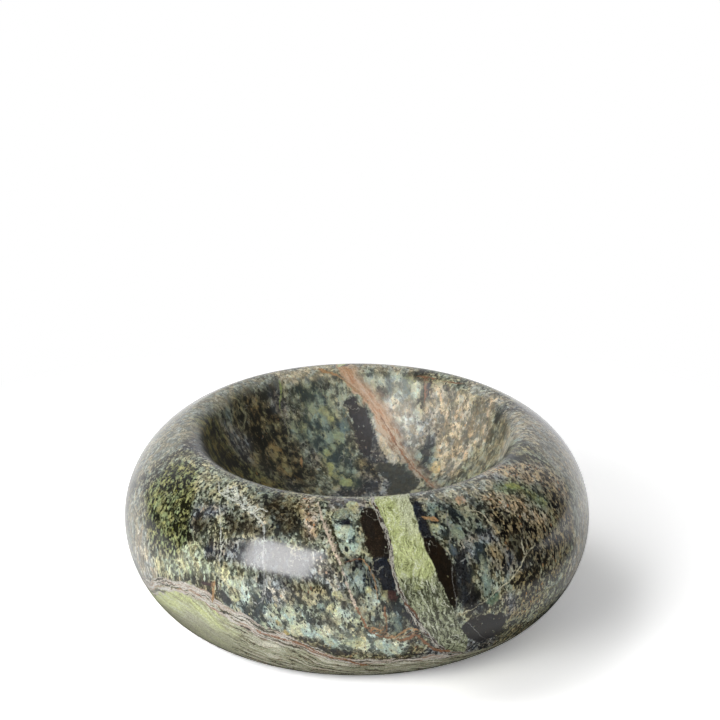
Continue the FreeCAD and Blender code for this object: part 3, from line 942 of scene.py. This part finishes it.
# Sizes of the grains, and how they are ruffled and drawn out, in millimetres
CRYSTAL = 0.56
CLUSTER = 1.6
PEBBLE = 2.5
RUFFLE_SIZE = 0.8
RUFFLE_REACH = 0.6
DRAWN_OUT = 0.45

# Where the bowl, the painted shade at the foot of the stone and the underside set in, in millimetres
BOWL_EDGE = (40.0, 35.0)
BOWL_FLOOR = (4.0, 8.0)
BASE_SHADE_HEIGHTS = (5.0, 2.0)
UNDERSIDE = (1.9, 1.3)

# The polish of the stone, and the height of the unevenness on every surface
STONE_IOR = 1.60
RELIEF = 0.05 * MM

# Colours of the threads and the bands
BAND = {
    "thread": paint(188, 188, 172),
    "slab dull": paint(172, 173, 142),
    "slab green": paint(202, 209, 150),
    "slab pale": paint(206, 210, 180),
    "slab dark": paint(132, 130, 100),
    "slab foot": paint(165, 163, 146),
    "worn dark": paint(90, 88, 66),
    "worn grey": paint(172, 174, 148),
    "worn white": paint(214, 212, 194),
    "worn black": paint(60, 54, 40),
    "worn rust": paint(150, 116, 92),
    "layer tan": paint(168, 144, 122),
    "layer pale": paint(204, 198, 188),
    "layer white": paint(212, 210, 202),
    "layer rust": paint(134, 92, 70),
    "layer gap": paint(70, 66, 50),
    "inner brown": paint(150, 120, 90),
    "inner cream": paint(210, 192, 166),
    "inner orange": paint(182, 128, 88),
    "inner white": paint(214, 208, 190),
    "inner rust": paint(190, 138, 94),
    "lime deep": paint(166, 174, 116),
    "lime light": paint(205, 213, 153),
    "lime grey": paint(203, 205, 184),
    "lime white": paint(213, 218, 184),
    "lime dark": paint(112, 116, 76),
    "web dark": paint(80, 83, 64),
    "web pale": paint(164, 171, 136),
    "web black": paint(62, 62, 50),
    "web white": paint(200, 203, 182),
    "stripe black": paint(52, 48, 45),
    "stripe pale": paint(180, 176, 164),
    "stripe rust": paint(150, 108, 78),
}


class Marble(Nodes):
    """Green marble: reads the figure kept on the mesh and draws it grain by grain, in millimetres."""

    def __init__(self, tree):
        super().__init__(tree)
        self.place = self.shade(self.add("ShaderNodeTexCoord").outputs["Object"], 1 / MM)
        self.across, _, self.height = self.split(self.place)
        flat = self.add("ShaderNodeVectorMath", {0: self.place, 1: (1.0, 1.0, 0.0)}, operation="MULTIPLY")
        within = self.step(self.length(flat.outputs[0]), *BOWL_EDGE)
        self.in_bowl = self.share_of(within, self.step(self.height, *BOWL_FLOOR))

        # Ruffled so that no grain is round, and drawn out along the dip of the rock
        self.ruffle = self.plus(self.noise(self.place, RUFFLE_SIZE, colour=True), (-0.5, -0.5, -0.5))
        self.ruffled = self.plus(self.place, self.shade(self.ruffle, RUFFLE_REACH))
        drawn_out = self.share_of(self.toward(self.ruffled, DIP), -DRAWN_OUT)
        self.grain_place = self.plus(self.ruffled, self.shade(DIP, drawn_out))

    def kept(self, name):
        """A field of the figure, as kept on the mesh."""
        return self.add("ShaderNodeAttribute", attribute_type="GEOMETRY", attribute_name=name).outputs

    def parts(self, colour):
        """The three parts of a colour, or of a field kept as one."""
        return self.add("ShaderNodeSeparateColor", {0: colour}).outputs

    def shade(self, colour, level):
        """A colour made lighter or darker by a level around 1."""
        return self.add("ShaderNodeVectorMath", {0: colour, "Scale": level}, operation="SCALE").outputs[0]

    def plus(self, first, second):
        return self.add("ShaderNodeVectorMath", {0: first, 1: second}, operation="ADD").outputs[0]

    def less_in_bowl(self, value, loss):
        """A value that loses a share of itself in the bowl, where the grain is softer."""
        return self.share_of(value, self.calc("MULTIPLY_ADD", self.in_bowl, -loss, 1.0))

    def around_one(self, value, swing):
        """A noise, which stays around 0.5, as a level around 1."""
        return self.calc("MULTIPLY_ADD", value, 2 * swing, 1 - swing)

    def lift(self, value, reach):
        """A noise, which stays around 0.5, as a push up or down."""
        return self.share_of(self.calc("SUBTRACT", value, 0.5), reach)

    def sway(self, value, size, reach, shift=(0.0, 0.0, 0.0)):
        """A value moved to and fro by noise."""
        cloud = self.noise(self.place, size, detail=4.0, shift=shift)
        return self.calc("ADD", value, self.lift(cloud, reach))

    def crystals(self, size, shift):
        """Grains of a given size: how far from a grain's middle, and a random colour for each."""
        inputs = {"Vector": self.plus(self.grain_place, shift), "Scale": 1 / size}
        return self.add("ShaderNodeTexVoronoi", inputs).outputs

    def dots(self, size, share, shift):
        """Round spots: a share of the grains of a given size is one."""
        grains = self.crystals(size, shift)
        chance = self.parts(grains["Color"])
        held = self.step(self.calc("ADD", chance[0], share), 0.97, 1.03)
        radius = self.calc("MULTIPLY_ADD", chance[1], 0.30, 0.22)
        return self.share_of(held, self.step(grains["Distance"], radius, self.calc("SUBTRACT", radius, 0.16)))

    def streaks(self, across, along, draw, size, waver, shift=(0.0, 0.0, 0.0)):
        """Noise drawn out along a band."""
        spot = self.add("ShaderNodeCombineXYZ", {0: across, 1: self.calc("MULTIPLY", along, draw)}).outputs[0]
        return self.noise(self.plus(spot, self.shade(self.ruffle, waver)), size, 5.0, 0.64, shift)

    def tinge(self, colour, tone, value, low, high, share=1.0):
        """A colour that turns into one of the bands' colours as a value goes from low to high."""
        turned = self.step(value, low, high)
        if share < 1.0:
            turned = self.share_of(turned, share)
        return self.blend(turned, colour, BAND[tone])

    def rock(self):
        """Pale lumps and flecks in a dark ground, with lumps and lenses of other rock let into it."""
        calc, step, blend, noisy = self.calc, self.step, self.blend, self.noise
        grain = self.kept("grain")
        cover, coarse, dust = self.parts(grain["Color"])[:3]
        coarse = calc("MAXIMUM", coarse, self.share_of(self.in_bowl, 0.3))
        crisp = self.less_in_bowl(calc("MULTIPLY_ADD", coarse, -0.55, 1.0), 0.6)
        crystal = self.parts(self.crystals(CRYSTAL, (0.0, 0.0, 0.0))["Color"])
        cluster = self.parts(self.crystals(CLUSTER, (17.0, 5.0, 29.0))["Color"])
        pebble = self.crystals(PEBBLE, (9.0, 21.0, 2.0))
        pebble_chance = self.parts(pebble["Color"])

        fines = noisy(self.grain_place, 1.1, detail=5.0, roughness=0.74)
        soft_fines = noisy(self.grain_place, 1.2, detail=3.2, roughness=0.66, shift=(0.0, 3.0, 14.0))
        fines = self.add("ShaderNodeMix", {0: self.in_bowl, 2: fines, 3: soft_fines}).outputs[0]
        lumps = calc("MULTIPLY_ADD", pebble["Distance"], -0.62, 0.80)
        lumps = calc("ADD", lumps, self.lift(noisy(self.grain_place, 1.5, 4.0, 0.6, (3.0, 5.0, 8.0)), 0.55))
        lumps = calc("ADD", lumps, self.lift(pebble_chance[0], 0.30))
        mixed = self.add("ShaderNodeMix", {0: coarse, 2: fines, 3: lumps}).outputs[0]
        rise = calc("ADD", mixed, self.lift(noisy(self.place, 9.0, detail=3.0, shift=(1.0, 6.0, 3.0)), 0.35))
        rise = calc("ADD", rise, self.share_of(self.lift(crystal[0], 0.32), crisp))
        rise = calc("ADD", rise, self.share_of(self.lift(cluster[0], 0.12), crisp))
        edge = calc("MULTIPLY_ADD", cover, -0.24, 0.62)

        tone = noisy(self.grain_place, 2.2, detail=5.0, roughness=0.65)
        ground = self.shade(self.kept("ground")["Color"], self.around_one(tone, 1.1))
        spice = self.kept("spice")["Color"]
        spiced = self.share_of(step(pebble_chance[1], 0.66, 0.74), coarse)
        pale = blend(spiced, self.kept("pale")["Color"], spice)
        pale = self.shade(pale, self.around_one(noisy(self.place, 1.4, 4.0, shift=(6.0, 1.0, 9.0)), 0.7))
        middle = blend(0.45, ground, self.shade(pale, 0.75))
        colour = blend(step(rise, calc("SUBTRACT", edge, 0.10), calc("SUBTRACT", edge, 0.01)), ground, middle)
        colour = blend(step(rise, calc("SUBTRACT", edge, 0.01), calc("ADD", edge, 0.09)), colour, pale)

        inlay = self.parts(self.kept("inlay")["Color"])
        push = self.lift(noisy(self.place, 2.4, 4.0), 3.0)
        push = calc("ADD", push, self.lift(noisy(self.place, 0.7, 4.0, shift=(1.0, 5.0, 2.0)), 2.0))
        held = step(calc("MULTIPLY_ADD", push, inlay[1], inlay[0]), 0.35, -0.35)
        held = self.share_of(held, calc("MULTIPLY_ADD", inlay[2], -0.35, 1.08, True))
        streak = noisy(self.grain_place, 0.9, 5.0, 0.68, (2.0, 3.0, 70.0))
        let_in = self.shade(self.kept("inlay_colour")["Color"], self.around_one(streak, 1.3))
        colour = blend(held, colour, let_in)
        busy = calc("MULTIPLY_ADD", held, calc("SUBTRACT", inlay[2], 1.0), 1.0)

        dust = self.less_in_bowl(self.share_of(dust, busy), 0.6)
        specks = self.less_in_bowl(self.share_of(grain["Alpha"], busy), 0.6)
        colour = blend(self.dots(0.75, self.share_of(dust, 0.8), (31.0, 7.0, 3.0)), colour, spice)
        colour = blend(self.dots(0.55, self.share_of(dust, 0.9), (11.0, 3.0, 37.0)), colour, pale)
        dark_spot = self.shade(self.kept("ground")["Color"], 0.6)
        colour = blend(self.dots(0.95, self.share_of(specks, 0.7), (5.0, 41.0, 13.0)), colour, dark_spot)
        colour = blend(self.dots(0.55, specks, (15.0, 4.0, 23.0)), colour, dark_spot)

        warm_or_cool = blend(step(crystal[1], 0.30, 0.40), WARM_GRAIN, COOL_GRAIN)
        hue = blend(step(crystal[1], 0.62, 0.72), warm_or_cool, GREEN_GRAIN)
        cluster_hue = blend(step(cluster[1], 0.40, 0.60), WARM_GRAIN, COOL_GRAIN)
        colour = blend(0.45, colour, blend(1.0, colour, hue, "MULTIPLY"))
        colour = blend(0.65, colour, blend(1.0, colour, cluster_hue, "MULTIPLY"))
        level = self.share_of(self.lift(crystal[2], 0.6), self.share_of(crisp, busy))
        return self.shade(colour, calc("ADD", level, 1.0)), rise, tone

    def threads(self, colour):
        """Hair-thin pale threads here and there."""
        gap = self.calc("ABSOLUTE", self.lift(self.noise(self.ruffled, 6.0, 4.0, shift=(2.0, 9.0, 4.0)), 1.0))
        where = self.step(self.noise(self.place, 5.0, shift=(7.0, 7.0, 1.0)), 0.52, 0.62)
        share = self.share_of(self.share_of(self.step(gap, 0.011, 0.004), where), 0.3)
        return self.blend(share, colour, BAND["thread"])

    def slab(self, colour):
        """The layered band, and the slab under it: yellow-green on the left, worn layers on the right."""
        step, blend, tinge = self.step, self.blend, self.tinge
        layers = self.kept("layers")
        side, width, travel = self.parts(layers["Color"])[:3]
        side = self.sway(side, 5.0, 3.0, (6.0, 2.0, 2.0))
        outer = layers["Alpha"]
        tilted = self.calc("MULTIPLY_ADD", travel, 0.38, side)
        broad = self.streaks(tilted, travel, 0.13, 2.2, 0.5)
        fine = self.streaks(tilted, travel, 0.10, 0.6, 0.3, (4.0, 8.0, 1.0))
        slab = tinge(BAND["slab dull"], "slab green", broad, 0.36, 0.60)
        slab = tinge(slab, "slab pale", fine, 0.53, 0.62, 0.8)
        slab = tinge(slab, "slab dark", fine, 0.46, 0.37, 0.7)
        slab = tinge(slab, "slab foot", side, -4.0, -9.0, 0.7)
        layer = self.streaks(side, travel, 0.10, 0.8, 0.35)
        fine_layer = self.streaks(side, travel, 0.08, 0.35, 0.25, (4.0, 8.0, 1.0))
        bed = self.streaks(side, travel, 0.16, 1.3, 1.7, (7.0, 1.0, 4.0))
        worn = tinge(BAND["worn dark"], "worn grey", bed, 0.38, 0.52)
        worn = tinge(worn, "worn white", layer, 0.52, 0.58)
        worn = tinge(worn, "worn black", layer, 0.45, 0.39)
        worn = tinge(worn, "worn rust", fine_layer, 0.47, 0.38, 0.5)
        slab = blend(step(self.sway(self.across, 4.0, 14.0), -32.0, -24.0), slab, worn)
        below = self.share_of(step(self.sway(side, 2.0, 2.0), 0.3, -0.4), outer)
        colour = blend(below, colour, slab)
        strand = self.streaks(side, travel, 0.07, 0.55, 0.35, (2.0, 6.0, 9.0))
        banded = tinge(BAND["layer tan"], "layer pale", layer, 0.36, 0.58)
        banded = tinge(banded, "layer white", fine_layer, 0.50, 0.62)
        banded = tinge(banded, "layer rust", fine_layer, 0.43, 0.36)
        room = self.calc("SUBTRACT", self.sway(width, 1.4, 2.2), self.calc("ABSOLUTE", side))
        inside = self.share_of(step(room, -0.25, 0.35), outer)
        colour = blend(self.share_of(inside, step(strand, 0.50, 0.40)), colour, BAND["layer gap"])
        return blend(self.share_of(inside, step(strand, 0.44, 0.50)), colour, banded)

    def inner_band(self, colour):
        """The broken band across the bowl: cream and white with orange strands, under painted shade deeper
        down.
        """
        step, blend, tinge = self.step, self.blend, self.tinge
        layers = self.kept("layers")
        side, width, travel = self.parts(layers["Color"])[:3]
        layer = self.streaks(side, travel, 0.22, 1.1, 0.6)
        strand = self.streaks(side, travel, 0.16, 0.55, 0.4, (4.0, 8.0, 1.0))
        band = tinge(BAND["inner brown"], "inner cream", layer, 0.36, 0.54)
        band = tinge(band, "inner orange", strand, 0.54, 0.63)
        band = tinge(band, "inner white", strand, 0.45, 0.37)
        upper = self.share_of(step(self.sway(self.height, 3.0, 6.0), 30.0, 36.0), 0.5)
        band = blend(upper, band, BAND["inner rust"])
        # Painted shade: the band darkens deeper down in the bowl
        bowl_shade = step(self.sway(self.height, 3.0, 4.0), 36.0, 24.0)
        band = self.shade(band, self.calc("MULTIPLY_ADD", bowl_shade, -0.45, 1.0))
        # Sharp on the left, running into the cream rock on the right
        soft = self.calc("MULTIPLY_ADD", step(side, 0.0, 1.5), 1.6, 0.5)
        room = self.calc("SUBTRACT", self.sway(width, 2.2, 4.6), self.calc("ABSOLUTE", side))
        inside = step(room, self.calc("MULTIPLY", soft, -1.0), soft)
        return blend(self.share_of(inside, step(layers["Alpha"], 0.5, 0.3)), colour, band)

    def lime_band(self, colour):
        """The lime band: feathery fibres, a grey web in its lower half, a striped vein down its left edge."""
        step, blend, tinge = self.step, self.blend, self.tinge
        side, width, travel = self.parts(self.kept("lime")["Color"])[:3]
        slant = self.sway(self.calc("MULTIPLY_ADD", travel, 0.16, side), 3.2, 4.0, (5.0, 8.0, 2.0))
        fibre = self.streaks(slant, travel, 0.22, 0.9, 0.5)
        thin_fibre = self.streaks(slant, travel, 0.18, 0.42, 0.4, (9.0, 4.0, 2.0))
        lime = tinge(BAND["lime deep"], "lime light", fibre, 0.36, 0.62)
        high_right = self.share_of(step(self.sway(self.height, 3.0, 5.0), 38.0, 42.0), step(side, -0.5, 1.5))
        lime = blend(self.share_of(high_right, 0.5), lime, BAND["lime grey"])
        lime = tinge(lime, "lime white", thin_fibre, 0.53, 0.62)
        lime = tinge(lime, "lime dark", thin_fibre, 0.46, 0.38, 0.9)
        web = tinge(BAND["web dark"], "web pale", fibre, 0.40, 0.60)
        web = tinge(web, "web black", thin_fibre, 0.49, 0.41)
        web = tinge(web, "web white", thin_fibre, 0.54, 0.62)
        lime = blend(step(self.sway(self.height, 2.5, 14.0), 35.0, 29.0), lime, web)
        swayed = self.sway(self.sway(width, 2.5, 0.9), 0.6, 0.9)
        inside = step(self.calc("SUBTRACT", swayed, self.calc("ABSOLUTE", side)), -0.12, 0.15)
        colour = blend(inside, colour, lime)
        from_edge = self.sway(self.calc("ADD", side, width), 1.2, 1.1)
        stripe = self.streaks(from_edge, travel, 0.16, 0.36, 0.3, (3.0, 3.0, 9.0))
        striped = tinge(BAND["stripe black"], "stripe pale", stripe, 0.45, 0.54)
        striped = tinge(striped, "stripe rust", stripe, 0.40, 0.33)
        border = self.share_of(step(from_edge, -1.0, -0.8), step(from_edge, 0.25, 0.0))
        return blend(self.share_of(border, step(width, 0.2, 0.8)), colour, striped)

    def veins(self, colour):
        """Thin veins over all of it, broken here and there."""
        vein = self.parts(self.kept("vein")["Color"])
        wavy = self.sway(self.sway(vein[0], 0.9, 0.9), 0.35, 0.5)
        strength = self.around_one(self.noise(self.place, 1.2, 4.0, shift=(4.0, 4.0, 4.0)), 1.6)
        gap = self.calc("SUBTRACT", self.share_of(vein[1], strength), self.calc("ABSOLUTE", wavy))
        broken = self.around_one(self.noise(self.place, 0.4, 1.0), 0.6)
        share = self.share_of(self.step(gap, -0.13, 0.15), broken)
        cloudy = self.around_one(self.noise(self.place, 0.6, 3.0), 0.9)
        return self.blend(share, colour, self.shade(self.kept("vein_colour")["Color"], cloudy))

    def roughness(self, tone):
        """Satin outside, duller in the bowl and under the base."""
        rough = self.calc("MULTIPLY_ADD", tone, 0.10, 0.11)
        rough = self.calc("MULTIPLY_ADD", self.step(self.height, *UNDERSIDE), 0.3, rough)
        return self.calc("MULTIPLY_ADD", self.in_bowl, 0.40, rough)


def new_material(name):
    """A material with an empty node tree."""
    material = bpy.data.materials.new(name)
    material.use_nodes = True
    material.node_tree.nodes.clear()
    return material


def marble_finish():
    """Satin-polished green marble."""
    material = new_material("marble")
    marble = Marble(material.node_tree)
    colour, rise, tone = marble.rock()
    for layer in (marble.threads, marble.slab, marble.inner_band, marble.lime_band, marble.veins):
        colour = layer(colour)
    dusty = marble.lift(marble.noise(marble.place, 0.30, 2.0, shift=(8.0, 2.0, 5.0)), 1.8)
    colour = marble.shade(colour, marble.calc("ADD", marble.less_in_bowl(dusty, 0.65), 1.0))
    # Painted shade: the lowest few millimetres of the stone are darkened, where the contact shadow lies next
    # to the floor
    edge = marble.step(marble.height, *BASE_SHADE_HEIGHTS)
    colour = marble.shade(colour, marble.calc("MULTIPLY_ADD", edge, -0.65, 1.0))
    ripple = {"Strength": 0.05, "Distance": RELIEF, "Height": rise}
    relief = marble.add("ShaderNodeBump", ripple).outputs[0]
    inputs = {"Base Color": colour, "Roughness": marble.roughness(tone), "IOR": STONE_IOR, "Normal": relief}
    shader = marble.add("ShaderNodeBsdfPrincipled", inputs)
    marble.add("ShaderNodeOutputMaterial", {"Surface": shader.outputs[0]})
    return material


def plain_finish(name, dark, light, size, rough, relief):
    """A plain material with a little cloudiness in its colour, its dullness and its surface."""
    material = new_material(name)
    nodes = Nodes(material.node_tree)
    place = nodes.add("ShaderNodeTexCoord").outputs["Object"]
    cloud = nodes.noise(place, size, 4.0, 0.6)
    fine = nodes.noise(place, size / 6, 3.0, 0.6, (0.3, 0.1, 0.7))
    ripple = {"Strength": relief, "Distance": RELIEF, "Height": fine}
    bump = nodes.add("ShaderNodeBump", ripple).outputs[0]
    inputs = {"Base Color": nodes.blend(nodes.step(cloud, 0.35, 0.65), dark, light),
              "Roughness": nodes.calc("MULTIPLY_ADD", fine, 0.2, rough - 0.1), "Normal": bump}
    shader = nodes.add("ShaderNodeBsdfPrincipled", inputs)
    nodes.add("ShaderNodeOutputMaterial", {"Surface": shader.outputs[0]})
    return material


def dress_feet():
    """Rubber on the feet and film on the adhesive discs, which are the CAD solids."""
    rubber = plain_finish("foot_rubber", dark=paint(24, 24, 25), light=paint(38, 38, 39), size=1.2 * MM,
                          rough=0.80, relief=0.4)
    film = plain_finish("foot_adhesive", dark=paint(190, 185, 168), light=paint(212, 208, 194), size=2.0 * MM,
                        rough=0.50, relief=0.2)
    for name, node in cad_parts.items():
        if name.startswith(("foot_", "adhesive_")):
            coat = rubber if name.startswith("foot_") else film
            if not node.material_slots:
                node.data.materials.append(coat)
            for slot in node.material_slots:
                slot.material = coat


# Floor and lights

FLOOR_SIZE = 6.0
PAPER_WHITE = paint(246, 246, 246)
# The paper under painted shade, as the dish's gloss sees it
PAPER_SHADE_IN_GLOSS = paint(70, 70, 70)
PAPER_GAIN = 1.95

# How much the paper glows by itself: a little all over, and more as painted light on the open side and under
# the dish, where it lifts the shadow
PAPER_GLOW = 0.04
OPEN_GLOW = 0.35
UNDER_GLOW = 0.10

# Depth of the painted shadow at the front right, and the two ways forward
SHADOW_DEPTH = 0.16
FORWARD_RIGHT = (0.55, -0.83, 0.0)
FORWARD_LEFT = (-0.75, -0.65, 0.0)

# Where a change of the paper starts and ends, as distances from the axis or in the way named
FAR_WHITE = (110 * MM, 170 * MM)
SHADOW_FORWARD = (12 * MM, 45 * MM)
SHADOW_REACH = (78 * MM, 54 * MM)
OPEN_FORWARD = (0.0, 30 * MM)
OPEN_REACH = (36 * MM, 42 * MM)
UNDER_REACH = (62 * MM, 40 * MM)
BEHIND_BACK = (10 * MM, 100 * MM)
BEHIND_REACH = (60 * MM, 110 * MM)
BESIDE_BACK = (30 * MM, 90 * MM)
BESIDE_REACH = (52 * MM, 72 * MM)
BESIDE_SLANT = 0.8
DARK_ACROSS = (20 * MM, 60 * MM)
DARK_BACK = (45 * MM, 5 * MM)
DARK_FARTHER = (80 * MM, 104 * MM)
DARK_CLOSE = (62 * MM, 50 * MM)

# The room: its light, its level in gloss, and where its white part lies behind the dish
ROOM_LEVEL = 0.31
ROOM_SHINE = 0.04
ROOM_BEHIND = (0.0, 0.5)
ROOM_HEIGHT = (1.02, 0.72)
ROOM_SLANT = 0.5

# What the lamps are aimed at
LAMP_TARGET = Vector((0, 0, 20 * MM))


def seamless_white():
    """The floor: white paper that keeps the dish's shadow and runs out into a white background."""
    material = new_material("seamless_paper")
    nodes = Nodes(material.node_tree)
    step, both = nodes.step, nodes.share_of
    place = nodes.add("ShaderNodeTexCoord").outputs["Object"]
    across, back, _ = nodes.split(place)
    reach = nodes.length(place)

    def paper(colour):
        return nodes.add("ShaderNodeBsdfDiffuse", {"Color": colour}).outputs[0]

    def glowing(strength):
        return nodes.add("ShaderNodeEmission", {"Strength": strength}).outputs[0]

    def mixed(share, first, second):
        return nodes.add("ShaderNodeMixShader", {0: share, 1: first, 2: second}).outputs[0]

    # Painted shadow: the paper is darkened round the front right, softly, beyond the shadow that the lamps
    # cast
    painted_shadow = both(step(nodes.toward(place, FORWARD_RIGHT), *SHADOW_FORWARD), step(reach, *SHADOW_REACH))
    gain = both(nodes.calc("MULTIPLY_ADD", painted_shadow, -SHADOW_DEPTH, 1.0), PAPER_GAIN)
    # Painted light: in front and to the left the paper glows, so that only a thin line of shadow stays beside
    # the feet
    painted_light_ahead = both(step(reach, *OPEN_REACH), step(nodes.toward(place, FORWARD_LEFT), *OPEN_FORWARD))
    level = nodes.calc("MULTIPLY_ADD", painted_light_ahead, OPEN_GLOW, PAPER_GLOW)
    # Painted light: the paper also glows a little close under the dish
    level = nodes.calc("MULTIPLY_ADD", step(reach, *UNDER_REACH), UNDER_GLOW, level)
    lit = nodes.add("ShaderNodeAddShader", {0: paper(gain), 1: glowing(level)}).outputs[0]
    white = glowing(1.0)
    rays = nodes.add("ShaderNodeLightPath").outputs
    surface = mixed(rays["Is Camera Ray"], paper(PAPER_WHITE), mixed(step(reach, *FAR_WHITE), lit, white))

    # In the dish's own gloss the paper is white behind and beside the dish
    gloss = nodes.calc("MAXIMUM", rays["Is Glossy Ray"], rays["Is Transmission Ray"])
    behind = both(step(back, *BEHIND_BACK), step(reach, *BEHIND_REACH))
    slanted = nodes.calc("MULTIPLY_ADD", across, -BESIDE_SLANT, back)
    beside = both(step(slanted, *BESIDE_BACK), step(reach, *BESIDE_REACH))
    surface = mixed(both(gloss, nodes.calc("MAXIMUM", behind, beside)), surface, white)
    # Painted shade: in gloss the paper is dark close to the dish, and farther out at the front right
    front_right = both(step(across, *DARK_ACROSS), step(back, *DARK_BACK))
    farther = both(front_right, step(reach, *DARK_FARTHER))
    dark = nodes.calc("MAXIMUM", farther, step(reach, *DARK_CLOSE))
    surface = mixed(both(gloss, dark), surface, paper(PAPER_SHADE_IN_GLOSS))
    nodes.add("ShaderNodeOutputMaterial", {"Surface": surface})
    return material


def lay_floor():
    """A square sheet of paper under the dish."""
    half = FLOOR_SIZE / 2
    corners = [(-half, -half, 0), (half, -half, 0), (half, half, 0), (-half, half, 0)]
    mesh = bpy.data.meshes.new("floor")
    mesh.from_pydata(corners, [], [(0, 1, 2, 3)])
    mesh.materials.append(seamless_white())
    floor = bpy.data.objects.new("floor", mesh)
    bpy.context.scene.collection.objects.link(floor)


def light_studio():
    """White behind the dish, dim in front of it."""
    world = bpy.data.worlds.new("studio")
    world.use_nodes = True
    world.node_tree.nodes.clear()
    nodes = Nodes(world.node_tree)
    way = nodes.split(nodes.add("ShaderNodeTexCoord").outputs["Generated"])
    inward = nodes.calc("MULTIPLY_ADD", nodes.calc("ABSOLUTE", way["X"]), -ROOM_SLANT, way["Y"])
    behind = nodes.share_of(nodes.step(inward, *ROOM_BEHIND), nodes.step(way["Z"], *ROOM_HEIGHT))
    rays = nodes.add("ShaderNodeLightPath").outputs
    gloss = nodes.calc("MAXIMUM", rays["Is Glossy Ray"], rays["Is Transmission Ray"])
    mirrored = nodes.add("ShaderNodeMix", {0: behind, 2: ROOM_SHINE, 3: 1.0}).outputs[0]
    level = nodes.add("ShaderNodeMix", {0: gloss, 2: ROOM_LEVEL, 3: mirrored}).outputs[0]
    level = nodes.calc("MAXIMUM", level, rays["Is Camera Ray"])
    background = nodes.add("ShaderNodeBackground", {"Strength": level})
    nodes.add("ShaderNodeOutputWorld", {"Surface": background.outputs[0]})
    bpy.context.scene.world = world


def softbox(name, turn, rise, distance, width, height, power, diffuse=True, glossy=True):
    """A soft rectangular lamp aimed at the dish: turn is in degrees from the front, positive to the right."""
    data = bpy.data.lights.new(name, "AREA")
    data.shape = "RECTANGLE"
    data.size = width
    data.size_y = height
    data.energy = power
    lamp = bpy.data.objects.new(name, data)
    bpy.context.scene.collection.objects.link(lamp)
    turn, rise = math.radians(turn), math.radians(rise)
    away = Vector((math.sin(turn) * math.cos(rise), -math.cos(turn) * math.cos(rise), math.sin(rise)))
    lamp.location = LAMP_TARGET + distance * away
    lamp.rotation_euler = (-away).to_track_quat("-Z", "Y").to_euler()
    lamp.visible_diffuse = diffuse
    lamp.visible_glossy = glossy


# The dish, its feet and the studio

marble = marble_finish()
stone, equator = turn_stone(marble)
camera = make_camera(equator)
draw_figure(stone.data, camera)
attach(stone, "root")
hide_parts("stone_bowl")
dress_feet()

lay_floor()
light_studio()
softbox("overhead_softbox", turn=-99, rise=54, distance=1.0, width=0.7, height=0.7, power=2.7, glossy=False)
softbox("front_fill", turn=-16, rise=27, distance=1.0, width=1.5, height=0.4, power=3.7, glossy=False)
softbox("front_softbox", turn=-39, rise=28, distance=0.8, width=0.46, height=0.42, power=2.1, glossy=False)
softbox("front_glint", turn=-39, rise=28, distance=0.79, width=0.45, height=0.41, power=5.8, diffuse=False)
bpy.context.scene.view_settings.view_transform = "Standard"
